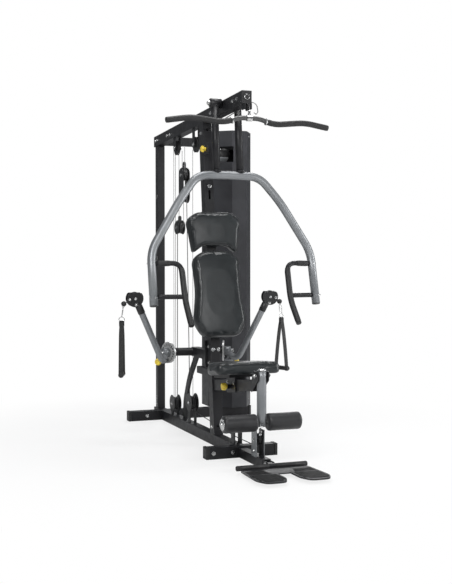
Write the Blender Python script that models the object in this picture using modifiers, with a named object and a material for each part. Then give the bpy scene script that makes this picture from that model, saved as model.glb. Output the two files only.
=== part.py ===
# Multi-station home gym: lat pulldown boom, hanging press arm, two swinging
# cable arms, seat with leg developer, weight stack and hinged foot plate.
# Front of the machine is -Y, its right side +X, up +Z.  Metres.
import math

import bmesh
import bpy
from mathutils import Matrix, Vector

# ---------------------------------------------------------------- dimensions
BEAM_W = 0.060            # section of the base beams and the top beam
BASE_H = 0.070
GAP = 0.0003              # clearance left between touching pieces
REAR_Y = 0.930            # rear upright
STUB_END = 1.000
REAR_FOOT_Y = 0.830
REAR_FOOT_L, REAR_FOOT_R = -0.278, 0.672
FRONT_FOOT_Y = -0.680
FRONT_FOOT_HALF = 0.226
CAP_T = 0.022
TOP_Z_REAR, TOP_Z_NOSE = 2.072, 2.140
TOP_Y_REAR, TOP_Y_NOSE = 0.985, -0.765
TOP_H = 0.074
LEAN = math.radians(6.3)  # front upright leans back by this much
POST_Y0 = -0.2805         # its centre line at floor level
POST_W, POST_D = 0.060, 0.075
POST_UP = 2.120           # longer than its place: the ends are cut to the base and the boom
PIVOT_Y, PIVOT_Z = -0.436, 2.112     # press arm pivot
HANGER_X = 0.075
ARM_R = 0.025             # press arm tube
HEAD_T, BACK_T = 0.075, 0.085        # pad thicknesses
BACK_TOP = 1.235          # height along the upright that the back pad tilts about
BACK_TILT = math.radians(-6.0)
GRIP_R = 0.0155
DISC_X, DISC_Y, DISC_Z = 0.193, 0.120, 0.556
DISC_R, DISC_T = 0.070, 0.009
HOLE_RING = 0.057         # radius of the ring of holes that the pull knob locks into
DISC_YAW = math.radians(67.0)        # disc axis, measured from straight ahead
FUNC_TOP = Vector((0.440, -0.026, 0.880))
SEAT_Z = 0.378            # seat beam height along the upright
LEG_Y, LEG_Z = -1.000, 0.515         # leg developer pivot
ROLLER_Z, ROLLER_R = 0.252, 0.050
ROLLER_IN, ROLLER_OUT = 0.032, 0.234
HINGE_Y, HINGE_Z = -1.112, 0.036     # foot plate hinge
SHROUD = [(0.345, 0.985), (0.345, 0.840), (0.490, 0.722),
          (0.605, 0.722), (0.682, 0.840), (0.682, 0.985)]
SHROUD_Z0, SHROUD_Z1, SHROUD_T = 0.0735, 2.115, 0.004
ROD_X = (0.448, 0.580)
ROD_Y = 0.860
STACK_X = 0.514
STACK_Z, STACK_PITCH = 0.105, 0.052   # lowest plate, and plate spacing
LAT_Y, LAT_Z = -0.8132, 1.9755
WHEELS = {                # centre y, centre z, radius
    "pulley_nose": (-0.790, 2.041, 0.0222),
    "pulley_top_mid": (0.114, 1.925, 0.052),
    "pulley_top_rear": (0.520, 1.945, 0.050),
    "pulley_low_front": (-0.948, 0.150, 0.034),
    "pulley_low_mid": (0.201, 0.205, 0.045),
    "pulley_low_rear": (0.569, 0.151, 0.045),
}
BLOCK_R = 0.047           # floating pulley blocks
CABLE_R = 0.0028

# ---------------------------------------------------------------- scene reset
for old in list(bpy.data.objects):
    bpy.data.objects.remove(old, do_unlink=True)
PARTS = bpy.data.collections.new("home gym")
TOOLS = bpy.data.collections.new("cutters and joined pieces")
for col in (PARTS, TOOLS):
    bpy.context.scene.collection.children.link(col)
MATS = {}
# local (x, -forward, up) beside the leaning upright, and local (y, z, x) of a plate across the machine
LEANING = Matrix.Translation((0, POST_Y0, 0)) @ Matrix.Rotation(-LEAN, 4, 'X')
ACROSS = Matrix(((0, 0, 1, 0), (1, 0, 0, 0), (0, 1, 0, 0), (0, 0, 0, 1)))


def material(name, color, metal, rough):
    mat = bpy.data.materials.new(name)
    mat.use_nodes = True
    bsdf = mat.node_tree.nodes["Principled BSDF"]
    bsdf.inputs["Base Color"].default_value = (*color, 1.0)
    bsdf.inputs["Metallic"].default_value = metal
    bsdf.inputs["Roughness"].default_value = rough
    MATS[name] = mat


for spec in (("frame_black", (0.018, 0.018, 0.021), 0.0, 0.45),
             ("arm_grey", (0.20, 0.21, 0.22), 0.85, 0.34),
             ("bright_steel", (0.62, 0.62, 0.60), 1.0, 0.25),
             ("black_plastic", (0.015, 0.015, 0.016), 0.0, 0.5),
             ("rubber_black", (0.012, 0.012, 0.012), 0.0, 0.8),
             ("pad_leather", (0.030, 0.034, 0.036), 0.0, 0.5),
             ("foam_black", (0.014, 0.014, 0.015), 0.0, 0.7),
             ("knob_yellow", (0.78, 0.52, 0.06), 0.0, 0.4),
             ("cable_black", (0.02, 0.02, 0.02), 0.0, 0.5),
             ("webbing_black", (0.015, 0.015, 0.015), 0.0, 0.85),
             ("iron_black", (0.03, 0.03, 0.032), 0.2, 0.55)):
    material(*spec)


# ---------------------------------------------------------------- helpers
def keep(ob, mat, hidden=False):
    """Put an object in its collection with its material; a hidden one is a cutter or joined piece."""
    if hidden:
        TOOLS.objects.link(ob)
        ob.hide_render = True
        ob.display_type = 'WIRE'
    else:
        PARTS.objects.link(ob)
    ob.data.materials.clear()
    ob.data.materials.append(MATS[mat])
    return ob


def object_from(bm, name, mat, place, hidden):
    """Object made of a bmesh and placed by a matrix."""
    mesh = bpy.data.meshes.new(name)
    bm.to_mesh(mesh)
    bm.free()
    ob = bpy.data.objects.new(name, mesh)
    ob.matrix_basis = place
    return keep(ob, mat, hidden)


def aim(direction):
    """Rotation that turns Z to a direction."""
    return Vector(direction).to_track_quat('Z', 'Y').to_matrix().to_4x4()


def add_bevel(ob, width, segments=1):
    bevel = ob.modifiers.new("bevel", 'BEVEL')
    bevel.width, bevel.segments, bevel.limit_method = width, segments, 'ANGLE'
    bevel.angle_limit = math.radians(40)
    return bevel


def box(name, lo, hi, mat, bevel=0.0015, origin=None, place=Matrix(), hidden=False):
    """Block between two corners, in the axes of place."""
    lo, hi = Vector(lo), Vector(hi)
    centre = (lo + hi) / 2
    at = centre if origin is None else Vector(origin)
    shape = Matrix.Translation(centre - at) @ Matrix.Diagonal((*(hi - lo), 1))
    bm = bmesh.new()
    bmesh.ops.create_cube(bm, size=1.0, matrix=shape)
    ob = object_from(bm, name, mat, place @ Matrix.Translation(at), hidden)
    if bevel:
        add_bevel(ob, bevel)
    return ob


def rod(name, p0, p1, r, mat, n=16, origin=None, hidden=False):
    """Cylinder between two points; an origin, where given, lies on its axis."""
    p0, p1 = Vector(p0), Vector(p1)
    middle = (p0 + p1) / 2
    at = middle if origin is None else Vector(origin)
    turn = aim(p1 - p0)
    bm = bmesh.new()
    bmesh.ops.create_cone(bm, cap_ends=True, segments=n, radius1=r, radius2=r, depth=(p1 - p0).length,
                          matrix=Matrix.Translation(turn.inverted() @ (middle - at)))
    for face in bm.faces:
        face.smooth = len(face.verts) == 4
    return object_from(bm, name, mat, Matrix.Translation(at) @ turn, hidden)


def turned(name, base, axis, line, mat, n, origin, hidden, closed):
    """Profile of (distance along the axis from base, radius) with a Screw modifier."""
    at = Vector(base) if origin is None else Vector(origin)
    start = (Vector(base) - at).dot(Vector(axis).normalized())
    bm = bmesh.new()
    verts = [bm.verts.new((r, 0, start + h)) for h, r in line]
    for a, b in zip(verts, verts[1:]):
        bm.edges.new((a, b))
    if closed:
        bm.edges.new((verts[-1], verts[0]))
    ob = object_from(bm, name, mat, Matrix.Translation(at) @ aim(axis), hidden)
    screw = ob.modifiers.new("turn", 'SCREW')
    screw.steps = screw.render_steps = n
    screw.use_merge_vertices, screw.merge_threshold = True, 1e-6
    screw.use_normal_flip = True
    return ob


def lathe(name, base, axis, profile, mat, n=24, origin=None, hidden=False):
    """Turned solid: the profile is closed to the axis at both ends."""
    line = [(profile[0][0], 0), *profile, (profile[-1][0], 0)]
    return turned(name, base, axis, line, mat, n, origin, hidden, closed=False)


def ring(name, base, axis, profile, mat, n=24, origin=None, hidden=False):
    """Turned ring: the profile is a loop that stays off the axis."""
    return turned(name, base, axis, profile, mat, n, origin, hidden, closed=True)


def rounded(points, radius, steps=4):
    """Line of points with its inner corners replaced by short curves."""
    pts = [Vector(p) for p in points]
    out = [pts[0]]
    for a, b, c in zip(pts, pts[1:], pts[2:]):
        back, ahead = a - b, c - b
        reach = min(radius, back.length * 0.45, ahead.length * 0.45)
        s, e = b + back.normalized() * reach, b + ahead.normalized() * reach
        for k in range(steps + 1):
            t = k / steps
            out.append(s * (1 - t) ** 2 + b * 2 * t * (1 - t) + e * t ** 2)
    out.append(pts[-1])
    return out


def from_curve(curve, name, mat, place, origin, hidden):
    """Mesh object of a curve's evaluated shape, its caps welded, with the wanted origin."""
    source = bpy.data.objects.new(name + "_curve", curve)
    TOOLS.objects.link(source)
    graph = bpy.context.evaluated_depsgraph_get()
    mesh = bpy.data.meshes.new_from_object(source.evaluated_get(graph))
    bpy.data.objects.remove(source)
    bm = bmesh.new()
    bm.from_mesh(mesh)
    bpy.data.meshes.remove(mesh)
    bmesh.ops.remove_doubles(bm, verts=bm.verts, dist=1e-5)
    bmesh.ops.recalc_face_normals(bm, faces=bm.faces)
    at = Vector(origin or (0, 0, 0))
    bmesh.ops.transform(bm, matrix=Matrix.Translation(-at) @ place, verts=bm.verts)
    return object_from(bm, name, mat, Matrix.Translation(at), hidden)


def line_curve(name, points, closed=False):
    curve = bpy.data.curves.new(name, 'CURVE')
    spline = curve.splines.new('POLY')
    spline.points.add(len(points) - 1)
    for point, p in zip(spline.points, points):
        point.co = (*p, 1) if len(p) == 3 else (*p, 0, 1)
    spline.use_cyclic_u = closed
    return curve


def pipe(name, points, r, mat, n=12, origin=None, hidden=False):
    """Round bar along a line of points, with n sides."""
    curve = line_curve(name, points)
    curve.dimensions, curve.bevel_depth, curve.bevel_resolution = '3D', r, (n - 4) // 2
    curve.use_fill_caps = True
    return from_curve(curve, name, mat, Matrix(), origin, hidden)


def plate(name, outline, thick, place, mat, origin=None, hidden=False):
    """Flat outline made solid by half its thickness to each side."""
    curve = line_curve(name, outline, closed=True)
    curve.dimensions, curve.fill_mode, curve.extrude = '2D', 'BOTH', thick / 2
    return from_curve(curve, name, mat, place, origin, hidden)


def prism(name, outline, z0, z1, mat, **kw):
    """Upright solid over an (x, y) outline."""
    return plate(name, outline, z1 - z0, Matrix.Translation((0, 0, (z0 + z1) / 2)), mat, **kw)


def extrude_x(name, outline, x0, x1, mat, **kw):
    """Solid across the machine over a (y, z) outline."""
    return plate(name, outline, x1 - x0, Matrix.Translation(((x0 + x1) / 2, 0, 0)) @ ACROSS, mat, **kw)


def boolean(target, tool, operation):
    m = target.modifiers.new(operation.lower(), 'BOOLEAN')
    m.operation, m.solver, m.object = operation, 'EXACT', tool
    return target


def cut(target, tool):
    return boolean(target, tool, 'DIFFERENCE')


def weld_on(target, tool):
    return boolean(target, tool, 'UNION')


def child(ob, parent):
    """Parent without moving; every parent's own place is its world place."""
    ob.parent = parent
    ob.matrix_parent_inverse = parent.matrix_basis.inverted()
    return ob


def lean_point(x, forward, up):
    """World position of a point given beside the leaning upright."""
    return LEANING @ Vector((x, -forward, up))


def lean_box(name, x, forward, up, mat, bevel=0.0015, origin=None, hidden=False):
    """Box whose sides follow the leaning upright."""
    (x0, x1), (f0, f1), (u0, u1) = x, forward, up
    return box(name, (x0, -f1, u0), (x1, -f0, u1), mat, bevel, origin, LEANING, hidden)


def mirror_x(p, side):
    return Vector((p[0] * side, p[1], p[2]))


def bore(target, name, p0, p1, r, n=24):
    return cut(target, rod(name, p0, p1, r, "iron_black", n=n, hidden=True))


# ---------------------------------------------------------------- base
def top_z(y):
    """Height of the top beam's upper face at a given y."""
    t = (TOP_Y_REAR - y) / (TOP_Y_REAR - TOP_Y_NOSE)
    return TOP_Z_REAR + t * (TOP_Z_NOSE - TOP_Z_REAR)


def build_base():
    w = BEAM_W / 2
    foot_rear = REAR_FOOT_Y - w - GAP
    beam = box("base_beam", (-w, FRONT_FOOT_Y + w + GAP, 0), (w, foot_rear, BASE_H),
               "frame_black", 0.002)
    for side in (-1, 1):
        for wheel in ("pulley_low_mid", "pulley_low_rear"):
            y, z, _ = WHEELS[wheel]
            weld_on(beam, box(f"tool_{wheel}_lug_{side}", (side * 0.021 - 0.0025, y - 0.022, BASE_H - 0.01),
                              (side * 0.021 + 0.0025, y + 0.022, z + 0.022), "frame_black", 0,
                              hidden=True))
        weld_on(beam, box(f"tool_front_lug_{side}", (side * 0.022 - 0.0035, -0.642, BASE_H - 0.01),
                          (side * 0.022 + 0.0035, -0.588, 0.136), "frame_black", 0, hidden=True))
    rear = box("rear_foot", (REAR_FOOT_L + CAP_T, REAR_FOOT_Y - w, 0),
               (REAR_FOOT_R - CAP_T, REAR_FOOT_Y + w, BASE_H), "frame_black", 0)
    weld_on(rear, box("tool_rear_stub", (-w, REAR_FOOT_Y, 0), (w, STUB_END, BASE_H), "frame_black", 0,
                      hidden=True))
    add_bevel(rear, 0.002)
    box("front_foot", (-FRONT_FOOT_HALF + CAP_T, FRONT_FOOT_Y - w, 0),
        (FRONT_FOOT_HALF - CAP_T, FRONT_FOOT_Y + w, BASE_H), "frame_black", 0.002)
    ends = (("foot_cap_front_left", -FRONT_FOOT_HALF, FRONT_FOOT_Y, 1),
            ("foot_cap_front_right", FRONT_FOOT_HALF, FRONT_FOOT_Y, -1),
            ("foot_cap_rear_left", REAR_FOOT_L, REAR_FOOT_Y, 1),
            ("foot_cap_rear_right", REAR_FOOT_R, REAR_FOOT_Y, -1))
    for name, x, y, s in ends:
        a, b = sorted((x, x + s * (CAP_T - GAP)))
        box(name, (a, y - w - 0.002, 0), (b, y + w + 0.002, BASE_H + 0.002), "rubber_black", 0.003)


def build_uprights():
    w = 0.0275
    box("rear_upright", (-w, REAR_Y - w, BASE_H + GAP), (w, REAR_Y + w, top_z(REAR_Y) - TOP_H - 0.0025),
        "frame_black", 0.002)
    post = lean_box("front_upright", (-POST_W / 2, POST_W / 2), (-POST_D / 2, POST_D / 2),
                    (0.03, POST_UP), "frame_black", 0.0)
    cut(post, box("tool_post_foot", (-0.1, -0.5, -0.1), (0.1, 0.1, BASE_H + GAP), "frame_black", 0,
                  hidden=True))
    y0, y1 = -0.30, 0.20
    lid = [(y0, top_z(y0) - TOP_H - GAP), (y1, top_z(y1) - TOP_H - GAP), (y1, 2.4), (y0, 2.4)]
    cut(post, extrude_x("tool_post_head", lid, -0.1, 0.1, "frame_black", hidden=True))
    bore(post, "tool_post_way_low", (0, -0.40, 0.118), (0, -0.15, 0.134), 0.009, n=12)
    bore(post, "tool_post_way_top", (0, -0.20, 2.0080), (0, 0.05, 1.9830), 0.009, n=12)
    weld_on(post, lean_box("tool_post_ear", (-0.0295, -0.0215), (0.02, 0.110), (1.835, 1.905),
                           "frame_black", 0, hidden=True))
    weld_on(post, box("tool_post_stub", (-0.022, -0.230, 0.424), (0.022, 0.045, 0.468), "frame_black",
                      0, hidden=True))
    slot = lean_box("tool_post_slot", (-0.007, 0.007), (-0.005, POST_D), (1.555, 1.615),
                    "frame_black", 0, hidden=True)
    cut(post, slot)
    add_bevel(post, 0.002)


def build_top_beam():
    w = BEAM_W / 2
    line = [(TOP_Y_NOSE, top_z(TOP_Y_NOSE) - TOP_H), (TOP_Y_REAR, top_z(TOP_Y_REAR) - TOP_H),
            (TOP_Y_REAR, top_z(TOP_Y_REAR)), (TOP_Y_NOSE, top_z(TOP_Y_NOSE))]
    beam = extrude_x("top_beam", line, -w, w, "frame_black")
    bore(beam, "tool_pivot_bore", (-0.1, PIVOT_Y, PIVOT_Z), (0.1, PIVOT_Y, PIVOT_Z), 0.0104)
    tip = WHEELS["pulley_nose"][0] - 0.012
    nose_lug = [(tip, 2.030), (-0.750, 2.030), (-0.750, 2.078), (-0.7642, 2.078), (-0.7642, 2.0635),
                (tip, 2.0635)]
    for side in (-1, 1):
        weld_on(beam, extrude_x(f"tool_nose_lug_{side}", nose_lug, *sorted((side * 0.0165, side * 0.0215)),
                                "frame_black", hidden=True))
        for wheel in ("pulley_top_mid", "pulley_top_rear"):
            y, z, _ = WHEELS[wheel]
            weld_on(beam, box(f"tool_{wheel}_lug_{side}", (side * 0.019 - 0.0025, y - 0.022, z - 0.016),
                              (side * 0.019 + 0.0025, y + 0.022, top_z(y) - TOP_H + 0.012),
                              "frame_black", 0, hidden=True))
    add_bevel(beam, 0.0012)
    zc = (line[0][1] + line[3][1]) / 2
    y1 = TOP_Y_NOSE - GAP
    cap = box("nose_cap", (-w - 0.001, y1 - 0.010, zc - TOP_H / 2 - 0.001),
              (w + 0.001, y1, zc + TOP_H / 2 + 0.001), "black_plastic", 0)
    weld_on(cap, rod("tool_badge", (0, y1 - 0.0125, zc), (0, y1 - 0.004, zc), 0.017, "black_plastic",
                     n=24, hidden=True))
    add_bevel(cap, 0.0015)
    box("top_cross_beam", (w + GAP, 0.860, 2.004), (0.3445, 0.915, 2.064), "frame_black", 0.002)


# ---------------------------------------------------------------- weight stack
def build_shroud():
    """Folded sheet round the stack, open at the back, with a window at the top pulleys."""
    bm = bmesh.new()
    foot = [bm.verts.new((x, y, SHROUD_Z0)) for x, y in SHROUD]
    edges = [bm.edges.new(pair) for pair in zip(foot, foot[1:])]
    walls = bmesh.ops.extrude_edge_only(bm, edges=edges)["geom"]
    top = [v for v in walls if isinstance(v, bmesh.types.BMVert)]
    bmesh.ops.translate(bm, vec=(0, 0, SHROUD_Z1 - SHROUD_Z0), verts=top)
    bmesh.ops.recalc_face_normals(bm, faces=bm.faces)
    shroud = object_from(bm, "shroud", "frame_black", Matrix(), False)
    sheet = shroud.modifiers.new("sheet", 'SOLIDIFY')
    sheet.thickness, sheet.offset, sheet.use_even_offset = SHROUD_T, -1, True
    cut(shroud, box("tool_window", (0.33, 0.60, 1.885), (0.500, 0.93, 2.000), "frame_black", 0,
                    hidden=True))


def build_plates(tag, first, count):
    """Weight plates as one grooved block: a core, with each plate's wider slab joined on."""
    z0 = STACK_Z + first * STACK_PITCH
    z1 = z0 + count * STACK_PITCH - 0.0006
    groove = 0.0015
    body = box(tag, (0.3985, 0.8165, z0 + groove), (0.6295, 0.9035, z1 - groove), "iron_black", 0,
               origin=(STACK_X, ROD_Y, z0))
    for k in range(count):
        low = z0 + k * STACK_PITCH + (groove if k else 0)
        high = z1 if k == count - 1 else z0 + (k + 1) * STACK_PITCH - groove
        weld_on(body, box(f"tool_{tag}_plate_{k}", (0.397, 0.815, low), (0.631, 0.905, high),
                          "iron_black", 0, hidden=True))
    for x in ROD_X:
        bore(body, f"tool_{tag}_bore_{x}", (x, ROD_Y, 0.05), (x, ROD_Y, 0.9), 0.0102)
    return body


def build_stack():
    build_shroud()
    for tag, x in zip(("left", "right"), ROD_X):
        rod(f"guide_rod_{tag}", (x, ROD_Y, BASE_H + GAP), (x, ROD_Y, 2.050), 0.0095, "bright_steel")
    build_plates("stack_lower", 0, 7)
    top = build_plates("stack_top", 7, 3)
    z = STACK_Z + 7.5 * STACK_PITCH
    bore(top, "tool_pin_hole", (STACK_X, 0.780, z), (STACK_X, 0.880, z), 0.0052, n=12)
    weld_on(top, rod("tool_stem", (STACK_X, ROD_Y, 0.60), (STACK_X, ROD_Y, 0.70), 0.014, "iron_black",
                     hidden=True))
    pin = lathe("selector_pin", (STACK_X, 0.876, z), (0, -1, 0),
                [(0, 0.0046), (0.063, 0.0046), (0.0632, 0.011), (0.082, 0.012), (0.088, 0.009)],
                "knob_yellow", n=12, origin=(STACK_X, 0.813, z))
    child(pin, top)


# ---------------------------------------------------------------- ratchet discs and cable arms
def disc_axis(side):
    return Vector((side * math.sin(DISC_YAW), -math.cos(DISC_YAW), 0))


def disc_centre(side):
    return Vector((side * DISC_X, DISC_Y, DISC_Z))


def build_cross_bracket():
    """Bracket behind the front upright that carries the cross tube for the discs."""
    y_back = DISC_Y + 0.022
    body = box("cross_bracket", (-0.026, -0.150, DISC_Z - 0.030), (0.026, y_back, DISC_Z + 0.030),
               "frame_black", 0)
    low, high = (lean_point(0, -POST_D / 2 - GAP, u) for u in (0.40, 0.80))
    post_side = [(-0.30, low.z), (low.y, low.z), (high.y, high.z), (-0.30, high.z)]
    weld_on(body, lean_box("tool_bracket_plate", (-0.045, 0.045), (-0.046, -POST_D / 2 - GAP),
                           (0.490, 0.66), "frame_black", 0, hidden=True))
    weld_on(body, box("tool_bracket_neck", (-0.026, -0.22, DISC_Z - 0.030),
                      (0.026, -0.10, DISC_Z + 0.030), "frame_black", 0, hidden=True))
    cut(body, extrude_x("tool_bracket_trim", post_side, -0.1, 0.1, "frame_black", hidden=True))
    for side in (-1, 1):
        a = disc_centre(side) - disc_axis(side) * (DISC_T / 2 + GAP)
        pts = [(side * 0.01, DISC_Y + 0.004, DISC_Z), a - disc_axis(side) * 0.055, a]
        weld_on(body, pipe(f"tool_cross_tube_{side}", rounded(pts, 0.03), 0.027, "frame_black",
                           n=14, hidden=True))
    z0 = BASE_H + GAP
    line = rounded([(0, 0.400, z0), (0, 0.400, 0.180), (0, 0.310, 0.360), (0, 0.125, DISC_Z)], 0.12, 4)
    line[-1] = Vector((0, 0.125, DISC_Z))
    sides = []
    for i, p in enumerate(line):
        t = (line[min(i + 1, len(line) - 1)] - line[max(i - 1, 0)]).normalized()
        n = Vector((0, t.z, -t.y)) * 0.026
        sides.append((p - n, p + n))
    outline = [(a.y, a.z) for a, _ in sides] + [(b.y, b.z) for _, b in reversed(sides)]
    outline[0], outline[-1] = (0.374, z0), (0.426, z0)
    brace = extrude_x("curved_brace", outline, 0.0095, 0.0250, "frame_black")
    cut(brace, box("tool_brace_head", (-0.1, 0.0, DISC_Z - 0.0303), (0.1, 0.25, 0.7),
                   "frame_black", 0, hidden=True))


def build_disc(side, tag):
    axis = disc_axis(side)
    c = disc_centre(side)
    disc = rod(f"ratchet_disc_{tag}", c - axis * DISC_T / 2, c + axis * DISC_T / 2, DISC_R,
               "bright_steel", n=30)
    for k in range(12):
        t = 2 * math.pi * k / 12
        p = c + aim(axis) @ Vector((math.cos(t), math.sin(t), 0)) * HOLE_RING
        bore(disc, f"tool_disc_hole_{tag}_{k}", p - axis * 0.02, p + axis * 0.02, 0.0052, n=8)


def arm_lift(side):
    """Direction of the straight upper part of a cable arm."""
    return mirror_x((FUNC_TOP - Vector((0.255, 0.030, 0.480))).normalized(), side)


def build_cable_arm(side, tag):
    """Arm that swings on the disc, with the sleeve of its pull knob."""
    axis, c = disc_axis(side), disc_centre(side)
    arm = lathe(f"cable_arm_{tag}", c + axis * (DISC_T / 2 + GAP), axis,
                [(0, 0.030), (0.046, 0.030), (0.046, 0.014), (0.056, 0.014)], "arm_grey", n=20, origin=c)
    foot = mirror_x(Vector((0.262, 0.032, 0.505)), side)
    top = mirror_x(FUNC_TOP, side)
    knee = c + axis * 0.030 + Vector((0, 0, -0.018))
    weld_on(arm, pipe(f"tool_arm_tube_{tag}", rounded([knee, foot, top], 0.05), 0.0185,
                      "arm_grey", n=14, hidden=True))
    pin_at = c - Vector((0, 0, HOLE_RING))
    sleeve = pin_at + axis * (DISC_T / 2 + 0.004)
    weld_on(arm, rod(f"tool_arm_sleeve_{tag}", sleeve, sleeve + axis * 0.060, 0.0125, "arm_grey",
                     n=14, hidden=True))
    weld_on(arm, rod(f"tool_arm_web_{tag}", c + axis * 0.030, pin_at + axis * 0.030 + Vector((0, 0, 0.002)),
                     0.0105, "arm_grey", n=12, hidden=True))
    bore(arm, f"tool_arm_bore_{tag}", sleeve - axis * 0.01, sleeve + axis * 0.09, 0.0049, n=12)
    knob = lathe(f"arm_knob_{tag}", pin_at + axis * (DISC_T / 2 + 0.0005), axis,
                 [(0, 0.0043), (0.0695, 0.0043), (0.0700, 0.011), (0.078, 0.0185), (0.092, 0.0185),
                  (0.098, 0.012)], "knob_yellow", n=14, origin=pin_at + axis * 0.075)
    child(knob, arm)
    return arm


def build_cable_end(side, tag, arm):
    """Pulley housing that turns on the arm's end, and the strap handle that hangs from its cable."""
    lift = arm_lift(side)
    end = mirror_x(FUNC_TOP, side) + lift * 0.0015
    out = mirror_x(Vector((0.90, -0.10, 0.36)).normalized(), side)
    out = (out - lift * out.dot(lift)).normalized()
    across = lift.cross(out).normalized()
    centre = end + lift * 0.046 + out * 0.006
    housing = rod(f"pulley_housing_{tag}", end, end + lift * 0.03, 0.021, "black_plastic", n=18,
                  origin=end)
    weld_on(housing, lathe(f"tool_housing_case_{tag}", centre - across * 0.019, across,
                           [(0, 0.038), (0.002, 0.041), (0.036, 0.041), (0.038, 0.038)],
                           "black_plastic", n=24, hidden=True))
    nose = centre + out * 0.042
    weld_on(housing, rod(f"tool_housing_nose_{tag}", centre + out * 0.02, nose + out * 0.012, 0.017,
                         "black_plastic", n=14, hidden=True))
    child(housing, arm)
    child(build_strap(side, tag, nose + out * 0.036, out), housing)


def build_strap(side, tag, ball, out):
    """Ball stop, link, two webbing legs and grip."""
    strap = lathe(f"strap_handle_{tag}", ball - out * 0.0155, out,
                  [(0, 0.006), (0.004, 0.013), (0.0155, 0.0165), (0.027, 0.013), (0.031, 0.006)],
                  "webbing_black", n=14, origin=ball)
    d_ring = ball + Vector((side * 0.014, 0, -0.105))
    weld_on(strap, rod(f"tool_strap_link_{tag}", ball + Vector((0, 0, -0.004)), d_ring, 0.0045,
                       "webbing_black", n=8, hidden=True))
    along = Vector((-side * 0.355, 0.935, 0)).normalized()
    low = d_ring - Vector((0, 0, 0.340))
    for end in (-1, 1):
        weld_on(strap, strap_leg(f"tool_strap_leg_{tag}_{end}", d_ring + Vector((0, 0, 0.008)),
                                 low + along * (end * 0.052), along))
    weld_on(strap, rod(f"tool_grip_{tag}", low - along * 0.066, low + along * 0.066, 0.015,
                       "webbing_black", n=14, hidden=True))
    return strap


def strap_leg(name, top, bottom, along):
    """Flat webbing that widens from the ring to one end of the grip."""
    thick = along.cross(Vector((0, 0, 1))) * 0.0015
    bm = bmesh.new()
    bmesh.ops.create_cube(bm, size=2.0)
    for v in bm.verts:
        end, width = (top, 0.0075) if v.co.z > 0 else (bottom, 0.0125)
        v.co = end + along * (v.co.x * width) + thick * v.co.y
    bmesh.ops.recalc_face_normals(bm, faces=bm.faces)
    return object_from(bm, name, "webbing_black", Matrix(), True)


# ---------------------------------------------------------------- press arm
def press_path(side):
    pts = [(0, -0.480, 1.676), (0.200, -0.482, 1.672), (0.325, -0.520, 1.515), (0.512, -0.556, 1.215),
           (0.517, -0.630, 0.898)]
    return rounded([mirror_x(Vector(p), side) for p in pts], 0.07)


def build_press_arm():
    """Hub, two hangers and the bent tube that comes down to both grips."""
    pivot = Vector((0, PIVOT_Y, PIVOT_Z))
    line = list(reversed(press_path(-1))) + press_path(1)[1:]
    arm = pipe("press_arm", line, ARM_R, "arm_grey", n=14, origin=pivot)
    for side in (-1, 1):
        hub_in, hub_out = side * (BEAM_W / 2 + GAP + 0.0015), side * 0.104
        weld_on(arm, rod(f"tool_hub_{side}", (hub_in, PIVOT_Y, PIVOT_Z), (hub_out, PIVOT_Y, PIVOT_Z),
                         0.029, "arm_grey", n=20, hidden=True))
        weld_on(arm, rod(f"tool_hanger_{side}", (side * HANGER_X, PIVOT_Y - 0.001, PIVOT_Z - 0.01),
                         (side * HANGER_X, -0.480, 1.676), 0.0195, "arm_grey", n=14, hidden=True))
    bore(arm, "tool_hub_bore", (-0.13, PIVOT_Y, PIVOT_Z), (0.13, PIVOT_Y, PIVOT_Z), 0.0104)
    lathe("pivot_bolt", (-0.1155, PIVOT_Y, PIVOT_Z), (1, 0, 0),
          [(0, 0.0145), (0.0112, 0.0145), (0.0112, 0.0100), (0.2198, 0.0100),
           (0.2198, 0.0145), (0.231, 0.0145)], "bright_steel", n=12)
    for side, tag in ((-1, "left"), (1, "right")):
        child(build_handle(side, tag), arm)


def build_handle(side, tag):
    """Bent grip with a crossbar; its ends are cut to fit round the press arm."""
    pts = [mirror_x(Vector(p), side) for p in
           ((0.4905, -0.578, 1.142), (0.338, -0.588, 1.146), (0.334, -0.655, 0.925),
            (0.336, -0.770, 0.790))]
    handle = pipe(f"handle_{tag}", rounded(pts, 0.060), GRIP_R, "rubber_black", n=12)
    cut(handle, pipe(f"tool_handle_trim_{tag}", press_path(side), ARM_R + 0.0014, "arm_grey", n=14,
                     hidden=True))
    return weld_on(handle, rod(f"tool_crossbar_{tag}", mirror_x((0.336, -0.648, 0.950), side),
                               mirror_x((0.4905, -0.620, 0.950), side), 0.010, "rubber_black", n=12,
                               hidden=True))


# ---------------------------------------------------------------- lat bar, pulleys, cables
def build_lat_bar():
    half = [(0.0, 0.0, 0.0), (0.060, 0.0, 0.0), (0.155, 0.0, -0.030), (0.350, 0.0, -0.010),
            (0.500, 0.0, -0.034)]
    right = rounded([(x, LAT_Y, LAT_Z + z) for x, _, z in half], 0.05, 3)
    left = rounded([(-x, LAT_Y, LAT_Z + z) for x, _, z in half], 0.05, 3)
    bar = pipe("lat_bar", list(reversed(left)) + right[1:], 0.0155, "rubber_black", n=12,
               origin=(0, LAT_Y, LAT_Z + 0.03))
    weld_on(bar, box("tool_bar_lug", (-0.004, LAT_Y - 0.009, LAT_Z + 0.006),
                     (0.004, LAT_Y + 0.009, LAT_Z + 0.028), "rubber_black", 0, hidden=True))
    bore(bar, "tool_bar_eye", (-0.02, LAT_Y, LAT_Z + 0.0215), (0.02, LAT_Y, LAT_Z + 0.0215), 0.0035,
         n=10)
    link = lathe("lat_hook", (0, LAT_Y, LAT_Z + 0.0283), (0, 0, 1),
                 [(0, 0.005), (0.004, 0.0075), (0.014, 0.0075), (0.018, 0.004)], "bright_steel", n=12)
    child(link, bar)
    rod("lat_drop", (0, LAT_Y, LAT_Z + 0.0466), (0, LAT_Y, WHEELS["pulley_nose"][1]), CABLE_R,
        "cable_black", n=8)


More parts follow.
